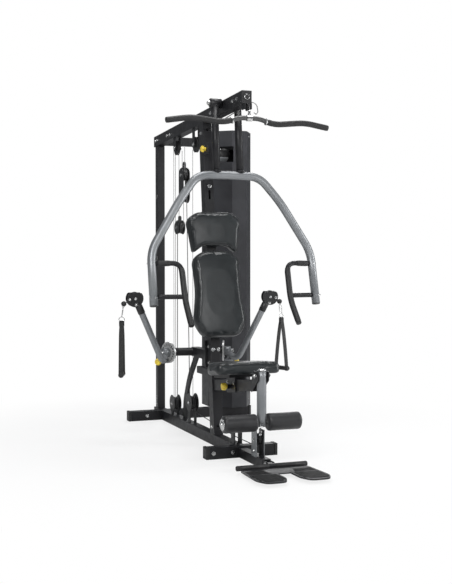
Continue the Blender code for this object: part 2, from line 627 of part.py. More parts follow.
def pulley(name, y, z, r):
    """Grooved wheel on a pin, axis across the machine."""
    w = 0.0105
    return lathe(name, (-w, y, z), (1, 0, 0),
                 [(0, r * 0.35), (0.002, r * 0.35), (0.0022, r), (0.0050, r), (w, r - 0.005),
                  (2 * w - 0.0050, r), (2 * w - 0.0022, r), (2 * w - 0.002, r * 0.35),
                  (2 * w, r * 0.35)], "black_plastic", n=18, origin=(0, y, z))


def block(name, y, centres, r, neck_top):
    """Floating block: two side plates' worth of body round one or two wheels."""
    z0, z1 = min(centres) - 0.020, max(centres) + 0.020
    body = box(name, (-0.0155, y - r * 0.97, min(centres) - 0.001),
               (0.0155, y + r * 0.97, max(centres) + 0.001), "black_plastic", 0, origin=(0, y, z0))
    for k, z in enumerate(centres):
        weld_on(body, lathe(f"tool_{name}_{k}", (-0.0160, y, z), (1, 0, 0),
                            [(0, r - 0.003), (0.003, r), (0.029, r), (0.032, r - 0.003)],
                            "black_plastic", n=20, hidden=True))
    weld_on(body, rod(f"tool_{name}_neck", (0, y, z1 - 0.005), (0, y, neck_top), 0.008,
                      "black_plastic", n=12, hidden=True))
    return body


def build_pulleys():
    for name, place in WHEELS.items():
        pulley(name, *place)
    block("block_upper", 0.366, (1.600, 1.745), BLOCK_R, 1.835)
    block("block_lower", 0.466, (1.389,), BLOCK_R, 1.470)


def build_cables():
    top = rounded([(0, -0.770, 2.0550), (0, -0.700, 2.0500), (0, 0.055, 1.9840)], 0.01, 2)
    pipe("cable_top", top, CABLE_R, "cable_black", n=8)
    low = rounded([(0, -0.915, 0.106), (0, -0.60, 0.106), (0, 0.180, 0.153), (0, 0.252, 0.162),
                   (0, 0.255, 0.240), (0, 0.316, 1.595)], 0.035, 2)
    pipe("cable_low", low, CABLE_R, "cable_black", n=8)
    pipe("cable_rear", [(0, 0.5165, 1.389), (0, 0.5235, 0.165)], CABLE_R, "cable_black", n=8)


# ---------------------------------------------------------------- pads and seat
def cushion(name, outline, thick, place, soft, origin=None):
    """Upholstered pad: flat outline with a rounded rim."""
    pad = plate(name, outline, thick, place, "pad_leather", origin)
    add_bevel(pad, soft, 3).use_clamp_overlap = False
    return pad


def soft_outline(points, radius, steps=4):
    """Closed outline with rounded corners (flat, 2D)."""
    pts = [Vector(p) for p in points]
    out = []
    n = len(pts)
    for i, b in enumerate(pts):
        a, c = pts[i - 1], pts[(i + 1) % n]
        d0, d1 = a - b, c - b
        lim = min(radius, d0.length * 0.48, d1.length * 0.48)
        s, e = b + d0.normalized() * lim, b + d1.normalized() * lim
        for k in range(steps + 1):
            t = k / steps
            q = s * (1 - t) ** 2 + b * 2 * t * (1 - t) + e * t ** 2
            out.append((q.x, q.y))
    return out


def build_pads():
    """Head and back pads on backing blocks that reach the upright; the back pad's foot stands forward."""
    back = POST_D / 2 + GAP + 0.006
    head = soft_outline([(-0.191, 1.414), (-0.155, 1.190), (-0.085, 1.243), (0.085, 1.243),
                         (0.155, 1.190), (0.191, 1.414), (0.112, 1.474), (-0.112, 1.474)], 0.035)
    lower = soft_outline([(-0.163, 1.172), (-0.154, 0.960), (-0.182, 0.760), (-0.122, 0.662),
                          (0.122, 0.662), (0.182, 0.760), (0.154, 0.960), (0.163, 1.172),
                          (0.085, 1.226), (-0.085, 1.226)], 0.045)
    for name, outline, thick, tilt, block, reach in (
            ("head_pad", head, HEAD_T, 0.0, (1.30, 1.40), 0.016),
            ("back_pad", lower, BACK_T, BACK_TILT, (0.78, 1.10), 0.062)):
        hinge = (Matrix.Translation((0, BACK_TOP, 0)) @ Matrix.Rotation(tilt, 4, 'X')
                 @ Matrix.Translation((0, -BACK_TOP, 0)))
        place = (LEANING @ Matrix.Translation((0, -back - thick / 2, 0))
                 @ Matrix.Rotation(math.pi / 2, 4, 'X') @ hinge)
        pad = cushion(name, outline, thick, place, 0.016)
        weld_on(pad, lean_box(f"tool_{name}_block", (-0.040, 0.040), (POST_D / 2 + GAP, back + reach),
                              block, "pad_leather", 0, hidden=True))


def build_seat_beam():
    """Beam square to the upright, with a plate at the upright and ears for the leg developer."""
    low, high = SEAT_Z - 0.033, SEAT_Z + 0.033
    root = POST_D / 2 + 2 * GAP
    beam = lean_box("seat_beam", (-0.025, 0.025), (root, 0.700), (low, high), "frame_black", 0)
    weld_on(beam, lean_box("tool_seat_plate", (-0.034, 0.034), (root, root + 0.008),
                           (low - 0.05, high + 0.05), "frame_black", 0, hidden=True))
    for side in (-1, 1):
        ear = [(-1.028, 0.490), (-0.930, 0.415), (-0.930, 0.478), (-0.955, 0.540), (-1.028, 0.540)]
        weld_on(beam, extrude_x(f"tool_seat_ear_{side}", ear, *sorted((side * 0.0292, side * 0.0342)),
                                "frame_black", hidden=True))
        weld_on(beam, lean_box(f"tool_seat_cheek_{side}", sorted((side * 0.020, side * 0.0342)),
                               (0.640, 0.695), (low + 0.004, high - 0.004), "frame_black", 0,
                               hidden=True))
    bore(beam, "tool_leg_bore", (-0.06, LEG_Y, LEG_Z), (0.06, LEG_Y, LEG_Z), 0.0082)
    add_bevel(beam, 0.0012)


def build_seat():
    """Bracket that slides on the seat beam, its pull knob and the seat pad."""
    low, high = SEAT_Z - 0.033, SEAT_Z + 0.033
    origin = (0, -0.40, high)
    carriage = lean_box("seat_carriage", (-0.034, 0.034), (0.300, 0.440), (low - 0.010, high + 0.030),
                        "frame_black", 0, origin=origin)
    cut(carriage, lean_box("tool_carriage_way", (-0.0254, 0.0254), (0.2, 0.6),
                           (low - 0.10, high + 0.0004), "frame_black", 0, hidden=True))
    weld_on(carriage, lean_box("tool_carriage_top", (-0.090, 0.090), (0.240, 0.500),
                               (high + 0.014, high + 0.030), "frame_black", 0, hidden=True))
    at = lean_point(-0.0345, 0.345, SEAT_Z - 0.006)
    outward = Vector((-1, 0, 0))
    weld_on(carriage, rod("tool_knob_sleeve", at - outward * 0.004, at + outward * 0.016, 0.0135,
                          "frame_black", hidden=True))
    bore(carriage, "tool_knob_bore", at - outward * 0.02, at + outward * 0.04, 0.0052, n=12)
    knob = lathe("seat_knob", at - outward * 0.0085, outward,
                 [(0, 0.0046), (0.0250, 0.0046), (0.0252, 0.012), (0.034, 0.0195), (0.050, 0.0195),
                  (0.056, 0.013)], "knob_yellow", n=14, origin=at + outward * 0.017)
    child(knob, carriage)
    thick = 0.070
    outline = soft_outline([(0.115, -0.190), (-0.115, -0.190), (-0.210, -0.425), (-0.205, -0.610),
                            (0.205, -0.610), (0.210, -0.425)], 0.045)
    on_seat = LEANING @ Matrix.Translation((0, 0, high + 0.0303 + thick / 2))
    child(cushion("seat_pad", outline, thick, on_seat, 0.020, carriage.matrix_basis.translation), carriage)


def build_leg_developer():
    pivot = Vector((0, LEG_Y, LEG_Z))
    arm = rod("leg_arm", (0, LEG_Y, 0.228), (0, LEG_Y, LEG_Z + 0.037), 0.0275, "arm_grey", n=20,
              origin=pivot)
    weld_on(arm, rod("tool_roller_axle", (-0.246, LEG_Y, ROLLER_Z), (0.246, LEG_Y, ROLLER_Z), 0.0125,
                     "arm_grey", n=16, hidden=True))
    weld_on(arm, rod("tool_leg_pin", (-0.044, LEG_Y, LEG_Z), (0.044, LEG_Y, LEG_Z), 0.0078,
                     "arm_grey", n=16, hidden=True))
    half = (ROLLER_OUT - ROLLER_IN) / 2
    for side, tag in ((-1, "left"), (1, "right")):
        x = side * (ROLLER_IN + half)
        roller = ring(f"foam_roller_{tag}", (x - half, LEG_Y, ROLLER_Z), (1, 0, 0),
                      [(0, 0.0130), (0, 0.044), (0.006, ROLLER_R), (2 * half - 0.006, ROLLER_R),
                       (2 * half, 0.044), (2 * half, 0.0130)], "foam_black", n=28,
                      origin=(x, LEG_Y, ROLLER_Z))
        child(roller, arm)


def build_foot_beam():
    """Beam ahead of the front foot, with lugs for the front pulley and ears for the foot plate."""
    beam = box("foot_beam", (-0.025, -1.075, 0.004), (0.025, FRONT_FOOT_Y - BEAM_W / 2 - GAP, 0.058),
               "frame_black", 0)
    for side in (-1, 1):
        x0, x1 = side * 0.020 - 0.003, side * 0.020 + 0.003
        weld_on(beam, box(f"tool_pulley_lug_{side}", (x0, -0.975, 0.05), (x1, -0.920, 0.200),
                          "frame_black", 0, hidden=True))
        weld_on(beam, box(f"tool_hinge_ear_{side}", (x0, HINGE_Y - 0.014, 0.020), (x1, -1.065, 0.052),
                          "frame_black", 0, hidden=True))
    bore(beam, "tool_hinge_bore", (-0.05, HINGE_Y, HINGE_Z), (0.05, HINGE_Y, HINGE_Z), 0.0072, n=16)
    add_bevel(beam, 0.0012)


def build_foot_plate():
    """Tongue on the hinge, cross tube, and two foot-shaped plates with a notch between them."""
    tube_y, tube_z = HINGE_Y - 0.035, 0.034
    fold = box("foot_plate", (-0.0165, tube_y, 0.026), (0.0165, HINGE_Y + 0.012, 0.046), "frame_black",
               0, origin=(0, HINGE_Y, HINGE_Z))
    weld_on(fold, rod("tool_cross_tube", (-0.208, tube_y, tube_z), (0.208, tube_y, tube_z), 0.014,
                      "frame_black", n=14, hidden=True))
    bore(fold, "tool_tongue_bore", (-0.05, HINGE_Y, HINGE_Z), (0.05, HINGE_Y, HINGE_Z), 0.0072, n=16)
    for side in (-1, 1):
        foot = soft_outline([(side * 0.040, -1.29), (side * 0.200, -1.17), (side * 0.212, -1.43),
                             (side * 0.180, -1.505), (side * 0.070, -1.505), (side * 0.038, -1.43)],
                            0.030, 3)
        weld_on(fold, prism(f"tool_foot_{side}", foot, 0.021, 0.029, "frame_black", hidden=True))
    weld_on(fold, box("tool_web", (-0.19, -1.310, 0.022), (0.19, -1.147, 0.028), "frame_black", 0,
                      hidden=True))


def build_star_knob():
    at = lean_point(-POST_W / 2, 0.075, 1.870)
    lathe("star_knob", at, (-1, 0, 0),
          [(0, 0.0125), (0.010, 0.0125), (0.0105, 0.019), (0.026, 0.021), (0.032, 0.015)],
          "knob_yellow", n=10, origin=at)


build_base()
build_uprights()
build_top_beam()
build_stack()
build_cross_bracket()
for SIDE, TAG in ((-1, "left"), (1, "right")):
    build_disc(SIDE, TAG)
    build_cable_end(SIDE, TAG, build_cable_arm(SIDE, TAG))
build_press_arm()
build_lat_bar()
build_pulleys()
build_cables()
build_pads()
build_seat_beam()
build_seat()
build_leg_developer()
build_foot_beam()
build_foot_plate()
build_star_knob()
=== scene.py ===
import math

import bmesh
import bpy
from mathutils import Matrix, Vector, noise
from mathutils.bvhtree import BVHTree


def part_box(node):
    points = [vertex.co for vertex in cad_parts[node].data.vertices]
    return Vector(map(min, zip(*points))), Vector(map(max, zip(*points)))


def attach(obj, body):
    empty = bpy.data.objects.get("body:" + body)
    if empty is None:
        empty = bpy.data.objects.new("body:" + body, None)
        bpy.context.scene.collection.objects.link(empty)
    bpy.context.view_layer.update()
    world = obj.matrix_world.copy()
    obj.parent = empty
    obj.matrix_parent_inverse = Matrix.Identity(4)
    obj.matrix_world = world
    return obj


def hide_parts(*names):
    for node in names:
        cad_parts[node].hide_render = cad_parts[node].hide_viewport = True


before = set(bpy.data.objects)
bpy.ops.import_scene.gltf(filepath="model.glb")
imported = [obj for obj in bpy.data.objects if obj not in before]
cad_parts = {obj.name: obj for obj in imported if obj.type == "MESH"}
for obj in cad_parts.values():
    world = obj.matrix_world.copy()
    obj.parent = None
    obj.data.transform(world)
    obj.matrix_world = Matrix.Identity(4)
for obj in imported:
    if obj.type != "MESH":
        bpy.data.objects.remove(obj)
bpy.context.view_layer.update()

# ---------------------------------------------------------------- places, as in part.py (metres)
LEAN = math.radians(6.3)                # front upright leans back by this much
POST_Y0 = -0.2805
POST_W, POST_D = 0.060, 0.075
LEANING = Matrix.Translation((0, POST_Y0, 0)) @ Matrix.Rotation(-LEAN, 4, 'X')
PIVOT = Vector((0, -0.436, 2.112))
HANGER_X = 0.075
LAT = Vector((0, -0.8132, 1.9755))
LEG = Vector((0, -1.000, 0.515))
ROLLER_Z = 0.252
DISC_YAW = math.radians(67.0)
DISC = Vector((0.193, 0.120, 0.556))
DISC_T = 0.009
FUNC_TOP = Vector((0.440, -0.026, 0.880))
FUNC_FOOT = Vector((0.255, 0.030, 0.480))
SEAT_Z = 0.378
HEAD_T, BACK_T = 0.075, 0.085           # pad thicknesses
BACK_TOP = 1.235                        # height along the upright that the back pad tilts about
BACK_TILT = math.radians(-6.0)
PAD_GAP = 0.0063                        # the pads' back stands this far off the upright
PIN_RING = 0.057                        # radius on the disc where the pull knob's pin sits
BOLT_R, FRAME_FACE, COVER_FACE = 0.0078, 0.0302, 0.0262
TUBE_END = Vector((HANGER_X, -0.480, 1.676))          # foot of the right hanger on the press tube
CAMERA_AT, CAMERA_AZIMUTH, CAMERA_PITCH = (-2.171, -6.153, 1.160), -20.8, 1.8
LENS, SENSOR = 61.64, 36.0
SWELL_FRAMES, SWELL_PRESSURE, SWELL_CAP, VOXEL = 16, 4.0, 0.006, 0.0052
SIDES = ((-1, "left"), (1, "right"))


def lean_point(x, forward, up):
    return LEANING @ Vector((x, -forward, up))


def mirror(p, side):
    return Vector((p[0] * side, p[1], p[2]))


def angles(n):
    return [2 * math.pi * k / n for k in range(n)]


def corner(a, b, c, radius, steps):
    """Points of the curve that rounds corner b between a and c."""
    d0, d1 = a - b, c - b
    lim = min(radius, d0.length * 0.48, d1.length * 0.48)
    s, e = b + d0.normalized() * lim, b + d1.normalized() * lim
    return [s * (1 - t) ** 2 + b * 2 * t * (1 - t) + e * t ** 2
            for t in [k / steps for k in range(steps + 1)]]


def arm_end(side):
    """A cable arm's direction, its end, and the way its pulley housing points."""
    lift = mirror((FUNC_TOP - FUNC_FOOT).normalized(), side)
    out = mirror(Vector((0.90, -0.10, 0.36)).normalized(), side)
    return lift, mirror(FUNC_TOP, side) + lift * 0.0015, (out - lift * out.dot(lift)).normalized()


def disc_axis(side):
    return mirror((math.sin(DISC_YAW), -math.cos(DISC_YAW), 0), side)


def wheel_profile(r):
    """Grooved pulley wheel, 20 mm wide."""
    return [(0, 0.012), (0.0005, r - 0.002), (0.004, r), (0.010, r - 0.008), (0.016, r),
            (0.0195, r - 0.002), (0.020, 0.012)]


# ---------------------------------------------------------------- camera and studio
def build_camera():
    az, pitch = math.radians(CAMERA_AZIMUTH), math.radians(CAMERA_PITCH)
    data = bpy.data.cameras.new("camera")
    data.lens, data.sensor_width = LENS, SENSOR
    cam = bpy.data.objects.new("camera", data)
    bpy.context.scene.collection.objects.link(cam)
    back = Vector((math.sin(az) * math.cos(pitch), -math.cos(az) * math.cos(pitch), math.sin(pitch)))
    cam.location = CAMERA_AT
    cam.rotation_euler = (-back).to_track_quat('-Z', 'Y').to_euler()
    bpy.context.scene.camera = cam


def area_light(name, place, target, size, power):
    data = bpy.data.lights.new(name, 'AREA')
    data.shape, data.size, data.size_y, data.energy = 'RECTANGLE', size[0], size[1], power
    lamp = bpy.data.objects.new(name, data)
    bpy.context.scene.collection.objects.link(lamp)
    lamp.location = place
    lamp.rotation_euler = (Vector(target) - Vector(place)).to_track_quat('-Z', 'Y').to_euler()


def build_studio():
    scene = bpy.context.scene
    world = bpy.data.worlds.new("studio")
    scene.world = world
    world.use_nodes = True
    tree = world.node_tree
    light = tree.nodes["Background"]
    light.inputs[0].default_value, light.inputs[1].default_value = (0.93, 0.96, 1.0, 1), 0.22
    seen = tree.nodes.new("ShaderNodeBackground")
    seen.inputs[0].default_value, seen.inputs[1].default_value = (1, 1, 1, 1), 1.0
    way = tree.nodes.new("ShaderNodeLightPath")
    mix = tree.nodes.new("ShaderNodeMixShader")
    tree.links.new(way.outputs["Is Camera Ray"], mix.inputs[0])
    tree.links.new(light.outputs[0], mix.inputs[1])
    tree.links.new(seen.outputs[0], mix.inputs[2])
    tree.links.new(mix.outputs[0], tree.nodes["World Output"].inputs[0])
    scene.view_settings.view_transform = 'Standard'
    area_light("key", (-3.0, -4.4, 3.6), (0, -0.4, 1.1), (1.5, 2.8), 175)
    area_light("fill", (3.8, -2.2, 1.9), (0, -0.2, 1.1), (1.1, 2.8), 95)
    area_light("front", (0.8, -5.6, 2.4), (0, -0.4, 0.9), (1.0, 1.6), 40)
    area_light("top", (0.2, -0.4, 4.4), (0, -0.3, 0), (1.4, 2.2), 80)
    area_light("back_rim", (1.8, 3.6, 3.0), (0, 0.2, 1.2), (1.2, 2.4), 70)
    bm = bmesh.new()
    bmesh.ops.create_grid(bm, x_segments=2, y_segments=2, size=30.0)
    floor = finish_mesh(bm, "floor", "studio_floor")
    floor.location.z = -0.0005


# ---------------------------------------------------------------- materials
class Nodes:
    """A material's node tree, with short ways to add and join nodes."""

    def __init__(self, name):
        self.mat = bpy.data.materials.new(name)
        self.mat.use_nodes = True
        self.tree = self.mat.node_tree
        self.shader = self.tree.nodes["Principled BSDF"]
        self.place = self.add("ShaderNodeTexCoord").outputs["Object"]

    def add(self, kind, **values):
        node = self.tree.nodes.new(kind)
        for key, value in values.items():
            setattr(node, key, value)
        return node

    def join(self, a, b):
        self.tree.links.new(a, b)

    def set(self, **values):
        for key, value in values.items():
            self.shader.inputs[key.replace("_", " ").title().replace("Ior", "IOR")].default_value = value

    def noise(self, scale, detail=4.0, stretch=None):
        node = self.add("ShaderNodeTexNoise")
        node.inputs["Scale"].default_value = scale
        node.inputs["Detail"].default_value = detail
        if stretch:
            way = self.add("ShaderNodeMapping")
            way.inputs["Scale"].default_value = stretch
            self.join(self.place, way.inputs["Vector"])
            self.join(way.outputs["Vector"], node.inputs["Vector"])
        else:
            self.join(self.place, node.inputs["Vector"])
        return node.outputs["Fac"]

    def cells(self, scale, feature='F1'):
        node = self.add("ShaderNodeTexVoronoi", feature=feature)
        node.inputs["Scale"].default_value = scale
        self.join(self.place, node.inputs["Vector"])
        return node.outputs["Distance"]

    def ramp(self, value, stops):
        node = self.add("ShaderNodeValToRGB")
        elements = node.color_ramp.elements
        for i, (at, shade) in enumerate(stops):
            e = elements[i] if i < 2 else elements.new(at)
            e.position = at
            e.color = (*shade, 1) if isinstance(shade, tuple) else (shade, shade, shade, 1)
        self.join(value, node.inputs[0])
        return node.outputs[0]

    def mix(self, factor, a, b):
        node = self.add("ShaderNodeMix", data_type='RGBA')
        for socket, value in ((node.inputs[0], factor), (node.inputs[6], a), (node.inputs[7], b)):
            if isinstance(value, tuple):
                socket.default_value = (*value, 1)
            elif isinstance(value, float):
                socket.default_value = value
            else:
                self.join(value, socket)
        return node.outputs[2]

    def multiply(self, a, b):
        node = self.add("ShaderNodeMix", data_type='RGBA', blend_type='MULTIPLY')
        node.inputs[0].default_value = 1.0
        self.join(a, node.inputs[6])
        self.join(b, node.inputs[7])
        return node.outputs[2]

    def bump(self, value, strength, distance):
        node = self.add("ShaderNodeBump")
        node.inputs["Strength"].default_value = strength
        node.inputs["Distance"].default_value = distance
        last = self.shader.inputs["Normal"].links
        if last:
            self.join(last[0].from_socket, node.inputs["Normal"])
        self.join(value, node.inputs["Height"])
        self.join(node.outputs["Normal"], self.shader.inputs["Normal"])

    def edges(self, radius=0.0025):
        """1 where a rounded normal leaves the true one, which is along edges."""
        soft = self.add("ShaderNodeBevel", samples=4)
        soft.inputs["Radius"].default_value = radius
        true = self.add("ShaderNodeNewGeometry")
        dot = self.add("ShaderNodeVectorMath", operation='DOT_PRODUCT')
        self.join(soft.outputs["Normal"], dot.inputs[0])
        self.join(true.outputs["Normal"], dot.inputs[1])
        return self.ramp(dot.outputs["Value"], ((0.90, 1.0), (0.995, 0.0)))

    def output(self, color=None, rough=None):
        if color is not None:
            self.join(color, self.shader.inputs["Base Color"])
        if rough is not None:
            self.join(rough, self.shader.inputs["Roughness"])
        return self.mat


def powder_coat(name, base, edge_highlight, rough=(0.34, 0.46)):
    """Near-black satin powder coat: fine orange peel, cloudy gloss, and a painted highlight that makes the
    edges a little lighter.
    """
    n = Nodes(name)
    cloud = n.noise(9.0, 5.0)
    tone = n.ramp(cloud, ((0.35, tuple(c * 0.85 for c in base)), (0.7, tuple(c * 1.25 for c in base))))
    # painted highlight: the colour along the edges is mixed towards the lighter edge colour
    painted_edge_highlight = n.mix(n.edges(), tone, edge_highlight)
    n.bump(n.noise(620.0, 3.0), 0.22, 0.0006)
    n.bump(n.noise(55.0, 2.0), 0.06, 0.002)
    n.set(specular_ior_level=0.32)
    return n.output(painted_edge_highlight, n.ramp(n.noise(30.0, 6.0), ((0.3, rough[0]), (0.7, rough[1]))))


def grey_paint(n, dark, light):
    """Metallic grey paint: fine flake and soft cloudiness."""
    flake = n.ramp(n.noise(120.0, 3.0), ((0.3, 0.93), (0.7, 1.0)))
    tone = n.ramp(n.noise(7.0, 4.0), ((0.35, dark), (0.7, light)))
    return n.multiply(tone, flake)


def arm_paint():
    n = Nodes("arm_grey_paint")
    grey = grey_paint(n, (0.215, 0.225, 0.235), (0.275, 0.285, 0.295))
    n.set(metallic=0.55)
    # painted highlight: the edges are mixed to a lighter grey
    return n.output(n.mix(n.edges(0.002), grey, (0.30, 0.31, 0.32)),
                    n.ramp(n.noise(40.0, 5.0), ((0.3, 0.36), (0.7, 0.43))))


def bright_metal(name, tone=0.62, rough=(0.16, 0.30), metallic=1.0):
    """Plated steel with fine brushing and small scuffs."""
    n = Nodes(name)
    color = n.ramp(n.noise(25.0, 6.0), ((0.3, (tone * 0.86, tone * 0.87, tone * 0.88)),
                                        (0.7, (tone, tone, tone * 0.985))))
    n.set(metallic=metallic)
    n.bump(n.noise(900.0, 2.0, (1, 1, 12)), 0.03, 0.0001)
    return n.output(color, n.ramp(n.noise(70.0, 8.0), ((0.35, rough[0]), (0.75, rough[1]))))


def moulded(name, base, rough, grain=0.16, edge_highlight=None):
    """Moulded plastic or rubber: fine spark-eroded grain, slight mottling, and, where an edge colour is
    given, a painted highlight that makes the edges lighter.
    """
    n = Nodes(name)
    tone = n.ramp(n.noise(14.0, 6.0), ((0.3, tuple(c * 0.82 for c in base)),
                                       (0.75, tuple(min(1, c * 1.18) for c in base))))
    # painted highlight: where an edge colour is given, the edges are mixed towards it
    color = n.mix(n.edges(0.0015), tone, edge_highlight) if edge_highlight else tone
    n.bump(n.noise(1100.0, 2.0), grain, 0.0003)
    return n.output(color, n.ramp(n.noise(50.0, 5.0), ((0.3, rough * 0.85), (0.7, min(1, rough * 1.15)))))


def leather():
    """Dark upholstery vinyl: pebbled grain, faint wrinkles, a soft sheen."""
    n = Nodes("pad_vinyl")
    pebble = n.cells(420.0, 'SMOOTH_F1')
    crease = n.noise(16.0, 7.0)
    tone = n.ramp(crease, ((0.32, (0.0085, 0.0108, 0.0118)), (0.72, (0.0145, 0.0180, 0.0195))))
    pits = n.ramp(pebble, ((0.0, 0.93), (0.5, 1.0)))
    color = n.multiply(tone, pits)
    n.bump(crease, 0.05, 0.0015)
    n.bump(pebble, 0.05, 0.0002)
    n.set(specular_ior_level=0.55, sheen_weight=0.06, sheen_roughness=0.4)
    return n.output(color, n.ramp(n.noise(24.0, 5.0), ((0.3, 0.31), (0.7, 0.38))))


def foam():
    """Closed-cell foam with a smooth skin and fine pores."""
    n = Nodes("roller_foam")
    pores = n.cells(900.0)
    tone = n.ramp(n.noise(18.0, 6.0), ((0.3, (0.010, 0.010, 0.011)), (0.7, (0.020, 0.020, 0.022))))
    n.bump(pores, 0.30, 0.0004)
    n.bump(n.noise(26.0, 4.0), 0.06, 0.0015)
    n.set(sheen_weight=0.08, sheen_roughness=0.5)
    return n.output(tone, n.ramp(n.noise(35.0, 5.0), ((0.3, 0.36), (0.7, 0.52))))


def woven(name, base, light):
    """Nylon webbing: crossing ribs of yarn."""
    n = Nodes(name)
    parts = n.add("ShaderNodeSeparateXYZ")
    n.join(n.place, parts.inputs[0])
    ribs = []
    for axis, pitch in (("Z", 0.0022), ("Y", 0.0016)):
        scaled = n.add("ShaderNodeMath", operation='MULTIPLY')
        scaled.inputs[1].default_value = 2 * math.pi / pitch
        n.join(parts.outputs[axis], scaled.inputs[0])
        wave = n.add("ShaderNodeMath", operation='SINE')
        n.join(scaled.outputs[0], wave.inputs[0])
        ribs.append(wave.outputs[0])
    weave = n.add("ShaderNodeMath", operation='MULTIPLY')
    n.join(ribs[0], weave.inputs[0])
    n.join(ribs[1], weave.inputs[1])
    half = n.add("ShaderNodeMath", operation='MULTIPLY_ADD')
    half.inputs[1].default_value, half.inputs[2].default_value = 0.5, 0.5
    n.join(weave.outputs[0], half.inputs[0])
    fuzz = n.noise(300.0, 4.0)
    n.bump(half.outputs[0], 0.5, 0.0006)
    n.bump(fuzz, 0.25, 0.0005)
    n.set(sheen_weight=0.15, sheen_roughness=0.5)
    return n.output(n.mix(half.outputs[0], base, light), n.ramp(fuzz, ((0.3, 0.68), (0.7, 0.86))))


def floor_paint():
    """White floor that brightens to the white behind it away from the machine."""
    n = Nodes("studio_floor")
    tone = n.ramp(n.noise(0.7, 2.0), ((0.3, (0.80, 0.80, 0.80)), (0.7, (0.83, 0.83, 0.83))))
    n.set(specular_ior_level=0.0)
    n.output(tone, n.ramp(n.noise(3.0, 2.0), ((0.3, 0.7), (0.7, 0.8))))
    far = n.add("ShaderNodeVectorMath", operation='LENGTH')
    n.join(n.place, far.inputs[0])
    glow = n.add("ShaderNodeMapRange", interpolation_type='SMOOTHSTEP')
    for socket, value in (("From Min", 0.6), ("From Max", 2.4), ("To Min", 0.68), ("To Max", 1.0)):
        glow.inputs[socket].default_value = value
    n.join(far.outputs["Value"], glow.inputs["Value"])
    white = n.add("ShaderNodeEmission")
    white.inputs["Strength"].default_value = 1.0
    way = n.add("ShaderNodeLightPath")
    both = n.add("ShaderNodeMath", operation='MULTIPLY')
    n.join(glow.outputs["Result"], both.inputs[0])
    n.join(way.outputs["Is Camera Ray"], both.inputs[1])
    mix = n.add("ShaderNodeMixShader")
    n.join(both.outputs[0], mix.inputs[0])
    n.join(n.shader.outputs[0], mix.inputs[1])
    n.join(white.outputs[0], mix.inputs[2])
    n.join(mix.outputs[0], n.tree.nodes["Material Output"].inputs["Surface"])
    return n.mat


def make_materials():
    """Every finish by the name that the pieces use."""
    return {
        # the second colour given to each powder coat and the last colour given to the black and yellow
        # mouldings are painted edge highlights
        "frame_black": powder_coat("frame_powder_coat", (0.0115, 0.0115, 0.013), (0.034, 0.035, 0.038)),
        "shroud": powder_coat("shroud_sheet_coat", (0.024, 0.0245, 0.028), (0.07, 0.07, 0.08),
                              (0.36, 0.48)),
        "arm_grey": arm_paint(),
        "bright_steel": bright_metal("plated_steel"),
        "disc_steel": bright_metal("disc_steel", 0.62, (0.30, 0.42), 0.55),
        "bar_bare": bright_metal("lat_bar_plating", 0.085, (0.36, 0.46), 0.35),
        "black_plastic": moulded("black_moulding", (0.010, 0.010, 0.011), 0.42, 0.12,
                                 (0.026, 0.026, 0.028)),
        "rubber_black": moulded("black_rubber", (0.012, 0.012, 0.0125), 0.58, 0.30),
        "pad_leather": leather(),
        "foam_black": foam(),
        "knob_yellow": moulded("yellow_moulding", (0.92, 0.66, 0.07), 0.36, 0.08, (0.98, 0.80, 0.22)),
        "cable_black": moulded("cable_sheath", (0.016, 0.016, 0.017), 0.30, 0.06),
        "wire": bright_metal("steel_wire", 0.22, (0.32, 0.45), 0.7),
        "webbing_black": woven("black_webbing", (0.009, 0.009, 0.009), (0.024, 0.024, 0.024)),
        "thread": moulded("seam_thread", (0.016, 0.018, 0.019), 0.8, 0.2),
        "iron_black": powder_coat("plate_paint", (0.022, 0.022, 0.023), (0.07, 0.07, 0.072), (0.42, 0.6)),
        "studio_floor": floor_paint(),
    }


# ---------------------------------------------------------------- mesh code
def finish_mesh(bm, name, finish, smooth=False):
    bmesh.ops.recalc_face_normals(bm, faces=bm.faces)
    mesh = bpy.data.meshes.new(name)
    bm.to_mesh(mesh)
    bm.free()
    mesh.materials.append(MATS[finish])
    for p in mesh.polygons:
        p.use_smooth = smooth
    obj = bpy.data.objects.new(name, mesh)
    bpy.context.scene.collection.objects.link(obj)
    return obj


def piece(obj, body, slot=None, *replaced):
    """Say what a new piece moves with, and the CAD nodes it stands for; the slot is not used."""
    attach(obj, body)
    if replaced:
        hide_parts(*replaced)
    return obj


def put(bm, name, finish, body, slot, *replaced, smooth=False):
    """Finish a new mesh and say what it moves with."""
    return piece(finish_mesh(bm, name, finish, smooth), body, slot, *replaced)


def aim(axis):
    return Vector(axis).normalized().to_track_quat('Z', 'Y').to_matrix().to_4x4()


def skin(bm, rings, ends=True):
    """Faces between rings of equal count, and over both ends."""
    for a, b in zip(rings, rings[1:]):
        for k in range(len(a)):
            j = (k + 1) % len(a)
            bm.faces.new((a[k], a[j], b[j], b[k]))
    if ends:
        bm.faces.new(rings[0])
        bm.faces.new(rings[-1])


def add_lathe(bm, place, axis, profile, n=24):
    """Turned form round an axis: profile is (height, radius) from low to high."""
    turn = Matrix.Translation(Vector(place)) @ aim(axis)
    rings = []
    for h, r in profile:
        if r < 1e-6:
            rings.append([bm.verts.new(turn @ Vector((0, 0, h)))])
        else:
            rings.append([bm.verts.new(turn @ Vector((r * math.cos(t), r * math.sin(t), h)))
                          for t in angles(n)])
    for a, b in zip(rings, rings[1:]):
        for k in range(n):
            j = (k + 1) % n
            if len(a) == 1:
                bm.faces.new((a[0], b[k], b[j]))
            elif len(b) == 1:
                bm.faces.new((a[k], a[j], b[0]))
            else:
                bm.faces.new((a[k], a[j], b[j], b[k]))
    for r in (rings[0], rings[-1]):
        if len(r) > 1:
            bm.faces.new(r)


